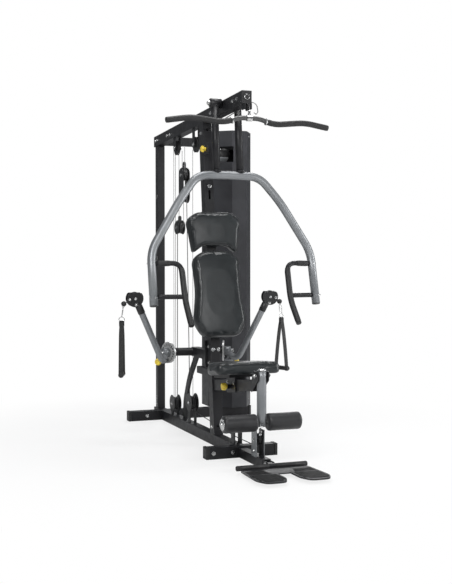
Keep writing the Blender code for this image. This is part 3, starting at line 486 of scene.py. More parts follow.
def add_tube(bm, points, radius, n=10, closed=False):
    """Round tube along points, turned as little as possible between them."""
    pts = [Vector(p) for p in points]
    count = len(pts)
    rings, up = [], None
    for i, p in enumerate(pts):
        if closed:
            t = (pts[(i + 1) % count] - pts[i - 1]).normalized()
        else:
            t = (pts[min(i + 1, count - 1)] - pts[max(i - 1, 0)]).normalized()
        if up is None:
            up = t.orthogonal().normalized()
        up = (up - t * up.dot(t)).normalized()
        side = t.cross(up)
        r = radius(i) if callable(radius) else radius
        rings.append([bm.verts.new(p + (up * math.cos(a) + side * math.sin(a)) * r) for a in angles(n)])
    skin(bm, rings, not closed)
    if closed:
        a, b = rings[-1], rings[0]
        shift = min(range(n), key=lambda s: (a[0].co - b[s].co).length)
        for k in range(n):
            bm.faces.new((a[k], a[(k + 1) % n], b[(k + 1 + shift) % n], b[(k + shift) % n]))


def add_block(bm, low, high, place=None, bevel=0.0015):
    """Box with rounded edges."""
    made = bmesh.ops.create_cube(bm, size=1.0)["verts"]
    low, high = Vector(low), Vector(high)
    for v in made:
        v.co = Vector(((v.co.x + 0.5) * (high.x - low.x) + low.x, (v.co.y + 0.5) * (high.y - low.y) + low.y,
                       (v.co.z + 0.5) * (high.z - low.z) + low.z))
        if place:
            v.co = place @ v.co
    edges = list({e for v in made for e in v.link_edges})
    if bevel:
        bmesh.ops.bevel(bm, geom=edges, offset=bevel, segments=2, affect='EDGES', profile=0.6)


def add_bolt(bm, place, axis, r=0.0075, washer=True):
    """Hexagon bolt head, slightly domed, on a washer."""
    h = r * 0.72
    if washer:
        add_lathe(bm, place, axis, [(0, r * 1.55), (r * 0.16, r * 1.55), (r * 0.20, r * 1.45)], 20)
    base = r * 0.20 if washer else 0.0
    add_lathe(bm, Vector(place) + Vector(axis).normalized() * base, axis,
              [(0, r), (h * 0.78, r), (h, r * 0.84), (h * 1.04, r * 0.4), (h * 1.04, 0)], 6)


def add_dome(bm, place, axis, r=0.006):
    """Button-head screw with its socket."""
    add_lathe(bm, place, axis, [(0, r), (r * 0.30, r * 0.97), (r * 0.55, r * 0.80), (r * 0.66, r * 0.50),
                                (r * 0.66, r * 0.42), (r * 0.25, r * 0.40), (r * 0.25, 0)], 18)


def bolts(name, body, places, r=0.0075, kind=add_bolt, finish="bright_steel"):
    bm = bmesh.new()
    for place, axis in places:
        kind(bm, place, axis, r)
    return put(bm, name, finish, body, "bright_steel")


def smooth_path(points, radius, steps=5):
    """Corner points rounded to arcs, ends kept."""
    pts = [Vector(p) for p in points]
    out = [pts[0]]
    for a, b, c in zip(pts, pts[1:], pts[2:]):
        out += corner(a, b, c, radius, steps)
    return out + [pts[-1]]


# ---------------------------------------------------------------- pads
def outline_points(corners, radius, gap):
    """Closed rounded outline, resampled evenly."""
    pts = [Vector(p) for p in corners]
    fine = []
    for i, b in enumerate(pts):
        fine += corner(pts[i - 1], b, pts[(i + 1) % len(pts)], radius, 8)
    total = sum((fine[i] - fine[i - 1]).length for i in range(len(fine)))
    count = int(total / gap)
    out, want, gone = [], 0.0, 0.0
    for i in range(len(fine)):
        a, b = fine[i], fine[(i + 1) % len(fine)]
        step = (b - a).length
        while want <= gone + step and len(out) < count:
            out.append(a.lerp(b, (want - gone) / step if step else 0))
            want += total / count
        gone += step
    return out


def shrink(points, by):
    """Outline moved inwards along its normals."""
    n = len(points)
    turn = sum(points[i - 1].x * points[i].y - points[i].x * points[i - 1].y for i in range(n))
    s = 1.0 if turn > 0 else -1.0
    out = []
    for i, p in enumerate(points):
        t = (points[(i + 1) % n] - points[i - 1]).normalized()
        out.append(p + Vector((-t.y, t.x)) * s * by)
    return out


def pad_mesh(name, outline, back, front):
    """Slab with a rounded rim between two heights."""
    bm = bmesh.new()
    thick = front - back
    levels = [(0.012, 0.0), (0.003, 0.06), (0.0, 0.25), (0.0, 0.72), (0.003, 0.90), (0.010, 0.985),
              (0.022, 1.0)]
    rings = []
    for inset, at in levels:
        ring = shrink(outline, inset) if inset else outline
        rings.append([bm.verts.new((p.x, p.y, back + thick * at)) for p in ring])
    skin(bm, rings)
    return finish_mesh(bm, name, "pad_leather", True)


def swell(obj):
    """Remesh and blow the pad up a little with Cloth, capped and applied."""
    scene = bpy.context.scene
    remesh = obj.modifiers.new("even", 'REMESH')
    remesh.mode, remesh.voxel_size = 'VOXEL', VOXEL
    apply(obj)
    start = [v.co.copy() for v in obj.data.vertices]
    cloth = obj.modifiers.new("cloth", 'CLOTH')
    cloth.settings.use_pressure = True
    cloth.settings.uniform_pressure_force = SWELL_PRESSURE
    cloth.settings.effector_weights.gravity = 0
    cloth.settings.quality = 5
    cloth.settings.mass = 0.3
    cloth.point_cache.frame_start, cloth.point_cache.frame_end = 1, SWELL_FRAMES
    for f in range(1, SWELL_FRAMES + 1):
        scene.frame_set(f)
    apply(obj)
    scene.frame_set(1)
    for v, at in zip(obj.data.vertices, start):
        move = v.co - at
        if move.length > SWELL_CAP:
            v.co = at + move.normalized() * SWELL_CAP


def apply(obj):
    """Replace an object's mesh by what its modifiers make."""
    deps = bpy.context.evaluated_depsgraph_get()
    done = bpy.data.meshes.new_from_object(obj.evaluated_get(deps), depsgraph=deps)
    obj.modifiers.clear()
    old = obj.data
    obj.data = done
    bpy.data.meshes.remove(old)


def build_cushion(name, corners, soft, thick, place, body, node, crown):
    """Upholstered pad: swollen vinyl form, a piped seam round its front and a stitched border."""
    outline = shrink(outline_points(corners, soft, 0.008), 0.006)
    half = thick / 2
    pad = pad_mesh(name, outline, -half + 0.004, half - 0.010)
    swell(pad)
    xs = [p.x for p in outline]
    ys = [p.y for p in outline]
    cx, cy = (min(xs) + max(xs)) / 2, (min(ys) + max(ys)) / 2
    wx, wy = (max(xs) - min(xs)) / 2, (max(ys) - min(ys)) / 2
    seam = shrink(outline, 0.011)
    for v in pad.data.vertices:
        rise = max(0.0, 1 - ((v.co.x - cx) / wx) ** 2) * max(0.0, 1 - ((v.co.y - cy) / wy) ** 2)
        if v.co.z > 0:
            v.co.z += crown * rise ** 0.55 * min(1.0, v.co.z / (half * 0.5))
        near = min((Vector((v.co.x, v.co.y)) - s).length for s in seam)
        if v.co.z > half * 0.35 and near < 0.008:
            v.co.z -= 0.0022 * (1 - (near / 0.008) ** 2)
        v.co.z = max(-half + 0.0005, min(half + 0.010, v.co.z))
        wander = noise.noise(Vector((v.co.x, v.co.y, v.co.z)) * 14)
        v.co.z += 0.0005 * wander if v.co.z > 0 else 0
    sub = pad.modifiers.new("smooth", 'SUBSURF')
    sub.levels = sub.render_levels = 1
    apply(pad)
    for p in pad.data.polygons:
        p.use_smooth = True
    tree = BVHTree.FromPolygons([v.co for v in pad.data.vertices], [p.vertices for p in pad.data.polygons])
    line = []
    for s in seam:
        hit = tree.ray_cast(Vector((s.x, s.y, 0.2)), Vector((0, 0, -1)))[0]
        line.append(hit if hit else Vector((s.x, s.y, half)))
    count = len(line)
    line = [(line[i - 1] + line[i] * 2 + line[(i + 1) % count]) / 4 for i in range(count)]
    bm = bmesh.new()
    add_tube(bm, [p + Vector((0, 0, 0.0006)) for p in line], 0.0019, 8, closed=True)
    piping = finish_mesh(bm, name + "_piping", "rubber_black", True)
    bm = bmesh.new()
    inner = shrink(outline, 0.0185)
    stitches = [tree.ray_cast(Vector((s.x, s.y, 0.2)), Vector((0, 0, -1)))[0] for s in inner]
    for i, a in enumerate(stitches):
        b = stitches[(i + 1) % len(stitches)]
        if a and b:
            up = Vector((0, 0, 0.0004))
            add_tube(bm, [a.lerp(b, 0.12) - up, a.lerp(b, 0.35) + up, a.lerp(b, 0.6) + up,
                          a.lerp(b, 0.82) - up], 0.00055, 5)
    stitching = finish_mesh(bm, name + "_stitching", "thread", True)
    for obj in (pad, piping, stitching):
        obj.data.transform(place)
        obj.data.update()
    piece(pad, body, "pad_leather", node)
    piece(piping, body, "pad_leather")
    piece(stitching, body, "pad_leather")


def build_pads():
    back = POST_D / 2 + PAD_GAP
    head = [(-0.191, 1.414), (-0.155, 1.190), (-0.085, 1.243), (0.085, 1.243), (0.155, 1.190),
            (0.191, 1.414), (0.112, 1.474), (-0.112, 1.474)]
    lower = [(-0.163, 1.172), (-0.154, 0.960), (-0.182, 0.760), (-0.122, 0.662), (0.122, 0.662),
             (0.182, 0.760), (0.154, 0.960), (0.163, 1.172), (0.085, 1.226), (-0.085, 1.226)]
    for name, outline, soft, thick, tilt, crown in (("head", head, 0.035, HEAD_T, 0.0, 0.015),
                                                    ("back", lower, 0.045, BACK_T, BACK_TILT, 0.017)):
        hinge = (Matrix.Translation((0, BACK_TOP, 0)) @ Matrix.Rotation(tilt, 4, 'X')
                 @ Matrix.Translation((0, -BACK_TOP, 0)))
        place = (LEANING @ Matrix.Translation((0, -back - thick / 2, 0))
                 @ Matrix.Rotation(math.pi / 2, 4, 'X') @ hinge)
        build_cushion(f"{name}_cushion", outline, soft, thick, place, "frame", f"{name}_pad", crown)
    seat = [(0.115, -0.190), (-0.115, -0.190), (-0.210, -0.425), (-0.205, -0.610), (0.205, -0.610),
            (0.210, -0.425)]
    on_seat = LEANING @ Matrix.Translation((0, 0, SEAT_Z + 0.033 + 0.0303 + 0.035))
    build_cushion("seat_cushion", seat, 0.045, 0.070, on_seat, "seat", "seat_pad", 0.014)
    bm = bmesh.new()
    for low_up, high_up, reach in ((1.30, 1.40, 0.008), (0.78, 1.10, 0.062)):
        add_block(bm, (-0.040, -back - reach, low_up), (0.040, -POST_D / 2 - 0.0005, high_up), LEANING)
    put(bm, "pad_backing_blocks", "frame_black", "frame", "frame_black")


def build_rollers():
    """Foam sleeves with rounded, slightly dished ends, and plated end caps."""
    for side, tag in SIDES:
        x0, x1 = 0.0325, 0.2335
        rim = [(0.0, 0.0135), (0.0, 0.030), (0.0012, 0.0415), (0.006, 0.0475), (0.014, 0.0496)]
        prof = [(x0 + h, r) for h, r in rim]
        steps = 14
        for k in range(steps + 1):
            t = k / steps
            x = x0 + 0.020 + (x1 - x0 - 0.040) * t
            prof.append((x, 0.0498 - 0.0008 * math.sin(math.pi * t) ** 2 - 0.0005 * (k % 2)))
        prof += [(x1 - h, r) for h, r in reversed(rim)]
        bm = bmesh.new()
        add_lathe(bm, (0, LEG.y, ROLLER_Z), (side, 0, 0), prof, 48)
        roller = finish_mesh(bm, f"foam_sleeve_{tag}", "foam_black", True)
        piece(roller, f"roller_{tag}", "foam_black", f"foam_roller_{tag}")
        bm = bmesh.new()
        add_lathe(bm, (side * 0.2345, LEG.y, ROLLER_Z), (side, 0, 0),
                  [(0, 0.034), (0.0022, 0.034), (0.0034, 0.031), (0.0040, 0.022), (0.0062, 0.020),
                   (0.0085, 0.0165), (0.0112, 0.0150), (0.0112, 0.0)], 36)
        put(bm, f"roller_end_disc_{tag}", "bright_steel", "leg_developer", "bright_steel")


# ---------------------------------------------------------------- knobs
def lobed(bm, place, axis, profile, lobes, depth, n):
    """Turned form whose radius waves round the axis."""
    turn = Matrix.Translation(Vector(place)) @ aim(axis)
    rings = []
    for h, r, wave in profile:
        ring = []
        for t in angles(n):
            reach = r * (1 - depth * wave * (0.5 - 0.5 * math.cos(lobes * t)))
            ring.append(bm.verts.new(turn @ Vector((reach * math.cos(t), reach * math.sin(t), h))))
        rings.append(ring)
    skin(bm, rings)


def build_knobs():
    """Yellow pull knobs with finger grooves and plated plungers."""
    for side, tag in SIDES:
        axis = disc_axis(side)
        pin_at = mirror(DISC, side) - Vector((0, 0, PIN_RING)) + axis * (DISC_T / 2 + 0.0005)
        pull_knob(f"pull_grip_{tag}", pin_at, axis, 0.0695, 0.0043, 0.0225, 0.030,
                  f"pull_knob_{tag}", f"arm_knob_{tag}")
    at = lean_point(-0.0345, 0.345, SEAT_Z - 0.006) + Vector((0.0085, 0, 0))
    pull_knob("seat_pull_grip", at, Vector((-1, 0, 0)), 0.0250, 0.0046, 0.0225, 0.033,
              "seat_pull_knob", "seat_knob")
    at = lean_point(-POST_W / 2, 0.075, 1.870)
    bm = bmesh.new()
    lobed(bm, at, (-1, 0, 0), [(0.0102, 0.014, 0.0), (0.011, 0.0195, 1.0), (0.014, 0.0212, 1.0),
                               (0.024, 0.0212, 1.0), (0.029, 0.0185, 1.0), (0.0315, 0.0120, 0.5),
                               (0.0318, 0.0080, 0.0), (0.0305, 0.0070, 0.0)], 5, 0.30, 60)
    add_lathe(bm, at, (-1, 0, 0), [(0.0002, 0.0120), (0.0015, 0.0125), (0.0105, 0.0125)], 24)
    put(bm, "star_grip", "knob_yellow", "top_pull_knob", "knob_yellow", "star_knob", smooth=True)


def pull_knob(name, start, axis, stem, stem_r, r, length, body, node):
    bm = bmesh.new()
    grip = [(stem, r * 0.62, 0.0), (stem + 0.0012, r * 0.72, 0.0), (stem + 0.004, r * 0.80, 0.2),
            (stem + 0.007, r * 0.95, 1.0), (stem + 0.010, r, 1.0), (stem + length - 0.009, r, 1.0),
            (stem + length - 0.004, r * 0.93, 0.8), (stem + length - 0.001, r * 0.74, 0.2),
            (stem + length, r * 0.55, 0.0), (stem + length - 0.0012, r * 0.45, 0.0)]
    lobed(bm, start, axis, grip, 10, 0.13, 60)
    put(bm, name, "knob_yellow", body, "knob_yellow", node, smooth=True)
    bm = bmesh.new()
    add_lathe(bm, start, axis, [(0.0, stem_r * 0.6), (0.001, stem_r), (stem + 0.002, stem_r)], 16)
    put(bm, name + "_plunger", "bright_steel", body, "bright_steel", smooth=True)


# ---------------------------------------------------------------- strap handles
def build_straps():
    for side, tag in SIDES:
        lift, end, out = arm_end(side)
        ball = end + lift * 0.046 + out * (0.006 + 0.042 + 0.036)
        d_ring = ball + Vector((side * 0.014, 0, -0.105))
        along = Vector((-side * 0.355, 0.935, 0)).normalized()
        flat = along.cross(Vector((0, 0, 1))).normalized()
        low = d_ring - Vector((0, 0, 0.340))
        body = f"strap_{tag}"
        bm = bmesh.new()
        add_lathe(bm, ball, out, [(-0.0155, 0.0062), (-0.0145, 0.0095), (-0.011, 0.0135), (-0.005, 0.0160),
                                  (0.0, 0.0165), (0.006, 0.0158), (0.011, 0.0132), (0.0148, 0.0085),
                                  (0.0155, 0.0050)], 28)
        put(bm, f"stop_ball_{tag}", "rubber_black", body, "rubber_black", smooth=True)
        # carabiner from the ball's eye to the ring
        top_c = ball + Vector((side * 0.004, 0, -0.020))
        bot_c = d_ring + Vector((0, 0, 0.022))
        mid, half = (top_c + bot_c) / 2, (top_c - bot_c).length / 2
        up = (top_c - bot_c).normalized()
        loop = [mid + up * math.sin(a) * half + along * math.cos(a) * (0.0105 * (1.0 + 0.20 * math.sin(a)))
                for a in angles(28)]
        bm = bmesh.new()
        add_tube(bm, loop, 0.0022, 8, closed=True)
        add_tube(bm, [mid + up * half * 0.55 + along * 0.0108, mid - up * half * 0.2 + along * 0.0122,
                      mid - up * half * 0.5 + along * 0.0100], 0.0028, 8)
        eye = [top_c + up * (0.004 + 0.0065 * math.sin(a)) + flat * 0.0065 * math.cos(a) for a in angles(20)]
        add_tube(bm, eye, 0.0016, 8, closed=True)
        put(bm, f"carabiner_{tag}", "bright_steel", body, "bright_steel", smooth=True)
        # D-ring: flat bar along the webbing, bow above
        bow = [d_ring + flat * (0.019 * math.cos(math.pi * k / 12))
               + Vector((0, 0, 0.002 + 0.020 * math.sin(math.pi * k / 12))) for k in range(13)]
        bm = bmesh.new()
        add_tube(bm, bow + [d_ring + flat * -0.013 - Vector((0, 0, 0.001)),
                            d_ring + flat * 0.013 - Vector((0, 0, 0.001))], 0.0022, 10, closed=True)
        put(bm, f"d_ring_{tag}", "bright_steel", body, "bright_steel", smooth=True)
        # webbing: over the ring and down both sides, its width square to the grip
        bm = bmesh.new()
        for s in (-1, 1):
            foot = low + along * (s * 0.050)
            head = d_ring + along * (s * 0.003)
            pts = [head.lerp(foot, k / 18) + along * (0.004 * math.sin(math.pi * k / 18) * s)
                   for k in range(19)]
            ribbon(bm, pts, flat, along, lambda t: 0.0125 + 0.0035 * min(1.0, t * 4), 0.0013, 0.0007 * s)
            add_band(bm, foot, along, 0.0172, 0.0060)
        put(bm, f"webbing_{tag}", "webbing_black", body, "webbing_black", f"strap_handle_{tag}")
        bm = bmesh.new()
        add_block(bm, (-0.0068, -0.0150, -0.034), (0.0068, 0.0150, -0.006),
                  Matrix.Translation(d_ring) @ basis(along, flat), 0.0012)
        put(bm, f"webbing_keeper_{tag}", "webbing_black", body, "webbing_black")
        bm = bmesh.new()
        prof = [(-0.066, 0.0085), (-0.0655, 0.0135), (-0.063, 0.0150), (-0.060, 0.0152)]
        for k in range(17):
            h = -0.056 + 0.112 * k / 16
            prof.append((h, 0.0150 if k % 2 else 0.0143))
        prof += [(0.060, 0.0152), (0.063, 0.0150), (0.0655, 0.0135), (0.066, 0.0085)]
        add_lathe(bm, low, along, prof, 28)
        put(bm, f"hand_grip_{tag}", "rubber_black", body, "rubber_black", smooth=True)
        bm = bmesh.new()
        case = end + lift * 0.046 + out * 0.006
        add_tube(bm, [case + out * 0.050, ball - out * 0.014], 0.0028, 10)
        put(bm, f"strap_cable_{tag}", "cable_black", f"housing_{tag}", "cable_black", smooth=True)


def basis(along, flat):
    """Rotation whose x runs along the webbing, y through its thickness."""
    up = along.cross(flat)
    up = up if up.z > 0 else -up
    return Matrix((along, flat, up)).transposed().to_4x4()


def ribbon(bm, pts, along, flat, width, thick, lift):
    """Flat strap through points, its width along one direction."""
    rows = []
    count = len(pts) - 1
    for i, p in enumerate(pts):
        w = width(i / count)
        p = p + flat * lift
        row = [p - along * w - flat * thick * 0.5, p - along * w * 0.97 + flat * thick,
               p + flat * thick, p + along * w * 0.97 + flat * thick, p + along * w - flat * thick * 0.5,
               p - flat * thick]
        rows.append([bm.verts.new(q) for q in row])
    skin(bm, rows)


def add_band(bm, centre, axis, radius, half):
    """Closed cuff of webbing round the grip."""
    add_lathe(bm, centre, axis, [(-half, radius - 0.0015), (-half, radius), (-half * 0.5, radius + 0.0004),
                                 (0, radius), (half * 0.5, radius + 0.0004), (half, radius),
                                 (half, radius - 0.0015)], 26)


# ---------------------------------------------------------------- tubes
def tube_piece(name, points, radius, finish, body, slot, *nodes, n=28):
    bm = bmesh.new()
    add_tube(bm, points, radius, n)
    return put(bm, name, finish, body, slot, *nodes, smooth=True)


def end_plug(bm, place, axis, r):
    """Domed plastic plug in a tube's end."""
    add_lathe(bm, place, axis, [(-0.004, r * 0.9), (0.0, r * 1.0), (0.0022, r * 0.98), (0.004, r * 0.86),
                                (0.0046, r * 0.5), (0.0046, 0)], 28)


def build_press_arm():
    path = [(0, -0.480, 1.676), (0.200, -0.482, 1.672), (0.325, -0.520, 1.515), (0.512, -0.556, 1.215),
            (0.517, -0.630, 0.898)]
    halves = [smooth_path([mirror(p, side) for p in path], 0.07, 8) for side in (-1, 1)]
    line = list(reversed(halves[0])) + halves[1][1:]
    tube_piece("press_tube", line, 0.0248, "arm_grey", "press", "arm_grey", "press_arm", n=32)
    bm, plugs, caps = bmesh.new(), bmesh.new(), []
    for side in (-1, 1):
        add_lathe(bm, (side * 0.0322, PIVOT.y, PIVOT.z), (side, 0, 0),
                  [(0, 0.0245), (0.0015, 0.0285), (0.070, 0.0285), (0.0715, 0.0245), (0.0715, 0.0105)], 32)
        top = Vector((side * HANGER_X, PIVOT.y - 0.001, PIVOT.z + 0.012))
        foot = mirror(TUBE_END, side)
        add_tube(bm, [top, foot], 0.0225, 28)
        down = (foot - top).normalized()
        add_lathe(bm, foot - down * 0.030, down, [(0, 0.0225), (0.002, 0.0265), (0.014, 0.0268),
                                                  (0.016, 0.0240)], 28)
        ends = halves[0 if side < 0 else 1]
        end_plug(plugs, ends[-1], ends[-1] - ends[-2], 0.0240)
        for z in (1.142, 0.950):
            near = min(ends, key=lambda p: abs(p.z - z))
            caps.append((Vector((near.x + side * 0.0242, near.y, z)), (side, 0, 0)))
            caps.append((Vector((near.x, near.y - 0.0242 + (near.z - z) * 0.24, z)), (0, -1, 0)))
    put(bm, "press_hangers", "frame_black", "press", "frame_black", smooth=True)
    put(plugs, "press_end_plugs", "black_plastic", "press", "black_plastic", smooth=True)
    bolts("press_bolts", "press", caps, 0.0058, add_dome)
    nuts = [(Vector((side * 0.1157, PIVOT.y, PIVOT.z)), (side, 0, 0)) for side in (-1, 1)]
    bolts("pivot_nuts", "frame", nuts, 0.011, add_dome)


def build_handles():
    for side, tag in SIDES:
        path = [(0.4925, -0.578, 1.142), (0.338, -0.588, 1.146), (0.334, -0.655, 0.925),
                (0.336, -0.770, 0.790)]
        line = smooth_path([mirror(p, side) for p in path], 0.060, 8)
        tube_piece(f"grip_frame_{tag}", line, 0.0150, "frame_black", "press", "rubber_black",
                   f"handle_{tag}", n=24)
        cover = [p for p in line if abs(p.x) < 0.345]
        full = [line[0].lerp(line[1], t) for t in (0.15, 0.9)]
        bm = bmesh.new()
        add_tube(bm, sample(cover, 40), lambda i: 0.0178 if 1 < i < 39 else 0.0166, 24)
        add_tube(bm, sample(full, 14), lambda i: 0.0172 if 0 < i < 13 else 0.0160, 24)
        put(bm, f"grip_foam_{tag}", "rubber_black", "press", "rubber_black", smooth=True)
        bar = [mirror((0.334, -0.648, 0.950), side), mirror((0.4930, -0.620, 0.950), side)]
        tube_piece(f"grip_crossbar_{tag}", sample(bar, 6), 0.0140, "frame_black", "press", "rubber_black",
                   n=24)
        bm = bmesh.new()
        end_plug(bm, line[-1], line[-1] - line[-2], 0.0166)
        put(bm, f"grip_plug_{tag}", "black_plastic", "press", "black_plastic", smooth=True)


def sample(points, count):
    """Even steps along a polyline."""
    pts = [Vector(p) for p in points]
    steps = [(b - a).length for a, b in zip(pts, pts[1:])]
    total, out = sum(steps), []
    for k in range(count + 1):
        want, i = total * k / count, 0
        while i < len(steps) - 1 and want > steps[i]:
            want -= steps[i]
            i += 1
        out.append(pts[i].lerp(pts[i + 1], min(1.0, want / steps[i])))
    return out


def build_lat_bar():
    half = [(0.0, 0.0), (0.060, 0.0), (0.155, -0.030), (0.350, -0.010), (0.500, -0.034)]
    right = smooth_path([Vector((x, LAT.y, LAT.z + z)) for x, z in half], 0.05, 6)
    left = [mirror(p, -1) for p in right]
    line = list(reversed(left)) + right[1:]
    tube_piece("lat_bar_tube", line, 0.0135, "bar_bare", "pulldown", "rubber_black", "lat_bar", n=24)
    for side, tag in SIDES:
        part = [p for p in (left if side < 0 else right) if abs(p.x) > 0.09]
        bm = bmesh.new()
        add_tube(bm, sample(part, 44), lambda i: 0.0170 if 0 < i < 44 else 0.0155, 24)
        put(bm, f"lat_grip_{tag}", "rubber_black", "pulldown", "rubber_black", smooth=True)
        bm = bmesh.new()
        add_lathe(bm, part[0] - Vector((side * 0.004, 0, 0)), (side, 0, -0.2),
                  [(-0.004, 0.014), (-0.004, 0.019), (0.004, 0.0195), (0.005, 0.014)], 24)
        put(bm, f"lat_collar_{tag}", "bright_steel", "pulldown", "bright_steel")
    bm = bmesh.new()
    add_block(bm, (-0.006, LAT.y - 0.011, LAT.z + 0.009), (0.006, LAT.y + 0.011, LAT.z + 0.029),
              None, 0.002)
    add_lathe(bm, LAT, (1, 0, 0), [(-0.016, 0.0140), (-0.016, 0.0175), (0.016, 0.0175), (0.016, 0.0140)])
    put(bm, "lat_bar_saddle", "bright_steel", "pulldown", "bright_steel")


def build_cable_arms():
    for side, tag in SIDES:
        axis = disc_axis(side)
        c = mirror(DISC, side)
        knee = c + axis * 0.030 + Vector((0, 0, -0.018))
        foot, top = mirror((0.262, 0.032, 0.505), side), mirror(FUNC_TOP, side)
        line = smooth_path([knee, foot, top], 0.05, 8)
        bm = bmesh.new()
        add_tube(bm, sample(line, 60), 0.0205, 28)
        face = c + axis * (DISC_T / 2 + 0.0004)
        add_lathe(bm, face, axis, [(0, 0.0275), (0.0015, 0.0300), (0.044, 0.0300), (0.0455, 0.0275),
                                   (0.0455, 0.015), (0.055, 0.0145), (0.056, 0.013)], 32)
        pin = c - Vector((0, 0, PIN_RING))
        add_lathe(bm, pin + axis * (DISC_T / 2 + 0.004), axis,
                  [(0, 0.0110), (0.001, 0.0128), (0.059, 0.0128), (0.060, 0.0110)], 24)
        add_tube(bm, [c + axis * 0.030, pin + axis * 0.030 + Vector((0, 0, 0.002))], 0.0115, 16)
        put(bm, f"arm_tube_{tag}", "arm_grey", f"arm_{tag}", "arm_grey", f"cable_arm_{tag}", smooth=True)
        lift = (top - foot).normalized()
        bm = bmesh.new()
        add_lathe(bm, top - lift * 0.062, lift, [(0, 0.0210), (0.002, 0.0232), (0.058, 0.0232),
                                                 (0.060, 0.0215), (0.0622, 0.0215)], 28)
        put(bm, f"arm_collar_{tag}", "black_plastic", f"arm_{tag}", "black_plastic", smooth=True)
        hub = c + axis * (DISC_T / 2 + 0.0563)
        bolts(f"arm_hub_bolt_{tag}", f"arm_{tag}", [(hub, axis)], 0.0095, add_bolt)


def build_leg_arm():
    bm = bmesh.new()
    add_tube(bm, sample([(0, LEG.y, 0.230), (0, LEG.y, LEG.z + 0.030)], 8), 0.0270, 32)
    put(bm, "leg_tube", "arm_grey", "leg_developer", "arm_grey", "leg_arm", smooth=True)
    bm = bmesh.new()
    add_lathe(bm, (0, LEG.y, LEG.z + 0.026), (0, 0, 1), [(0, 0.0272), (0.008, 0.0275), (0.0105, 0.0255),
                                                         (0.0110, 0.015), (0.0110, 0)], 32)
    add_lathe(bm, (-0.0440, LEG.y, LEG.z), (1, 0, 0), [(0, 0.0076), (0.088, 0.0076)], 20)
    add_lathe(bm, (-0.2458, LEG.y, ROLLER_Z), (1, 0, 0), [(0, 0.0122), (0.4916, 0.0122)], 24)
    add_lathe(bm, (0, LEG.y, 0.2285), (0, 0, 1), [(0, 0.022), (0.0015, 0.0268), (0.006, 0.0272)], 28)
    put(bm, "leg_tube_fittings", "bright_steel", "leg_developer", "bright_steel", smooth=True)
    ends = [(Vector((side * 0.0445, LEG.y, LEG.z)), (side, 0, 0)) for side in (-1, 1)]
    bolts("leg_pin_nuts", "leg_developer", ends, 0.0080, add_bolt)


# ---------------------------------------------------------------- discs and housings
def add_sector(bm, place, r0, r1, t0, t1, half, steps=6):
    """Flat curved bar between two radii and angles, as thick as twice half."""
    rings = []
    for k in range(steps + 1):
        t = t0 + (t1 - t0) * k / steps
        d = Vector((math.cos(t), math.sin(t), 0))
        rings.append([bm.verts.new(place @ (d * r + Vector((0, 0, z))))
                      for r, z in ((r0, -half), (r1, -half), (r1, half), (r0, half))])
    skin(bm, rings)


def build_discs():
    """Ratchet discs: rim and hub joined by spokes, with radial slots between them."""
    for side, tag in SIDES:
        axis = disc_axis(side)
        place = Matrix.Translation(mirror(DISC, side)) @ aim(axis)
        bm = bmesh.new()
        for k in range(4):
            add_sector(bm, place, 0.0600, 0.0698, k * math.pi / 2, (k + 1) * math.pi / 2, 0.0045, 16)
            add_sector(bm, place, 0.0010, 0.0400, k * math.pi / 2, (k + 1) * math.pi / 2, 0.0045, 12)
        for t in angles(18):
            add_sector(bm, place, 0.0395, 0.0605, t - 0.072, t + 0.072, 0.0040, 2)
        put(bm, f"slotted_disc_{tag}", "disc_steel", "frame", "bright_steel", f"ratchet_disc_{tag}")
        bm = bmesh.new()
        centre = mirror(DISC, side)
        add_lathe(bm, centre - axis * 0.0110, axis, [(0, 0.058), (0.001, 0.0655), (0.0052, 0.0655),
                                                     (0.0056, 0.060)], 40)
        put(bm, f"disc_backing_{tag}", "frame_black", "frame", "frame_black")


def housing_outline(centre, out, lift, r, top):
    """Round plate with a flat top, as points in space."""
    pts = []
    for t in angles(40):
        p = (out * math.cos(t) + lift * math.sin(t)) * r
        if p.z > top:
            p = p - lift * ((p.z - top) / max(0.3, lift.z))
        pts.append(centre + p)
    return pts


def build_housings():
    for side, tag in SIDES:
        lift, end, out = arm_end(side)
        across = lift.cross(out).normalized()
        c = end + lift * 0.046 + out * 0.006
        body = f"housing_{tag}"
        bm = bmesh.new()
        for s in (-1, 1):
            rim = housing_outline(c, out, lift, 0.0540, 0.036)
            rings = []
            for grow, at in ((0.94, 0.0140), (1.0, 0.0150), (1.0, 0.0180), (0.95, 0.0192)):
                rings.append([bm.verts.new(c + (p - c) * grow + across * (at * s)) for p in rim])
            skin(bm, rings)
        add_lathe(bm, end + lift * 0.0004, lift,
                  [(0, 0.0195), (0.001, 0.0212), (0.020, 0.0212), (0.024, 0.018)], 28)
        nose = c + out * 0.040
        add_lathe(bm, nose, out, [(0, 0.0150), (0.006, 0.0168), (0.012, 0.0165), (0.0145, 0.0130)], 24)
        put(bm, f"housing_plates_{tag}", "black_plastic", body, "black_plastic", f"pulley_housing_{tag}")
        bm = bmesh.new()
        add_lathe(bm, c - across * 0.010, across, wheel_profile(0.042), 36)
        put(bm, f"housing_wheel_{tag}", "black_plastic", body, "black_plastic", smooth=True)
        offsets = (Vector((0, 0, 0)), out * 0.036 + lift * 0.012, lift * -0.038 + out * 0.012)
        spots = [(c + d + across * (0.0192 * s), across * s) for s in (-1, 1) for d in offsets]
        bolts(f"housing_bolts_{tag}", body, spots, 0.0056, add_bolt)


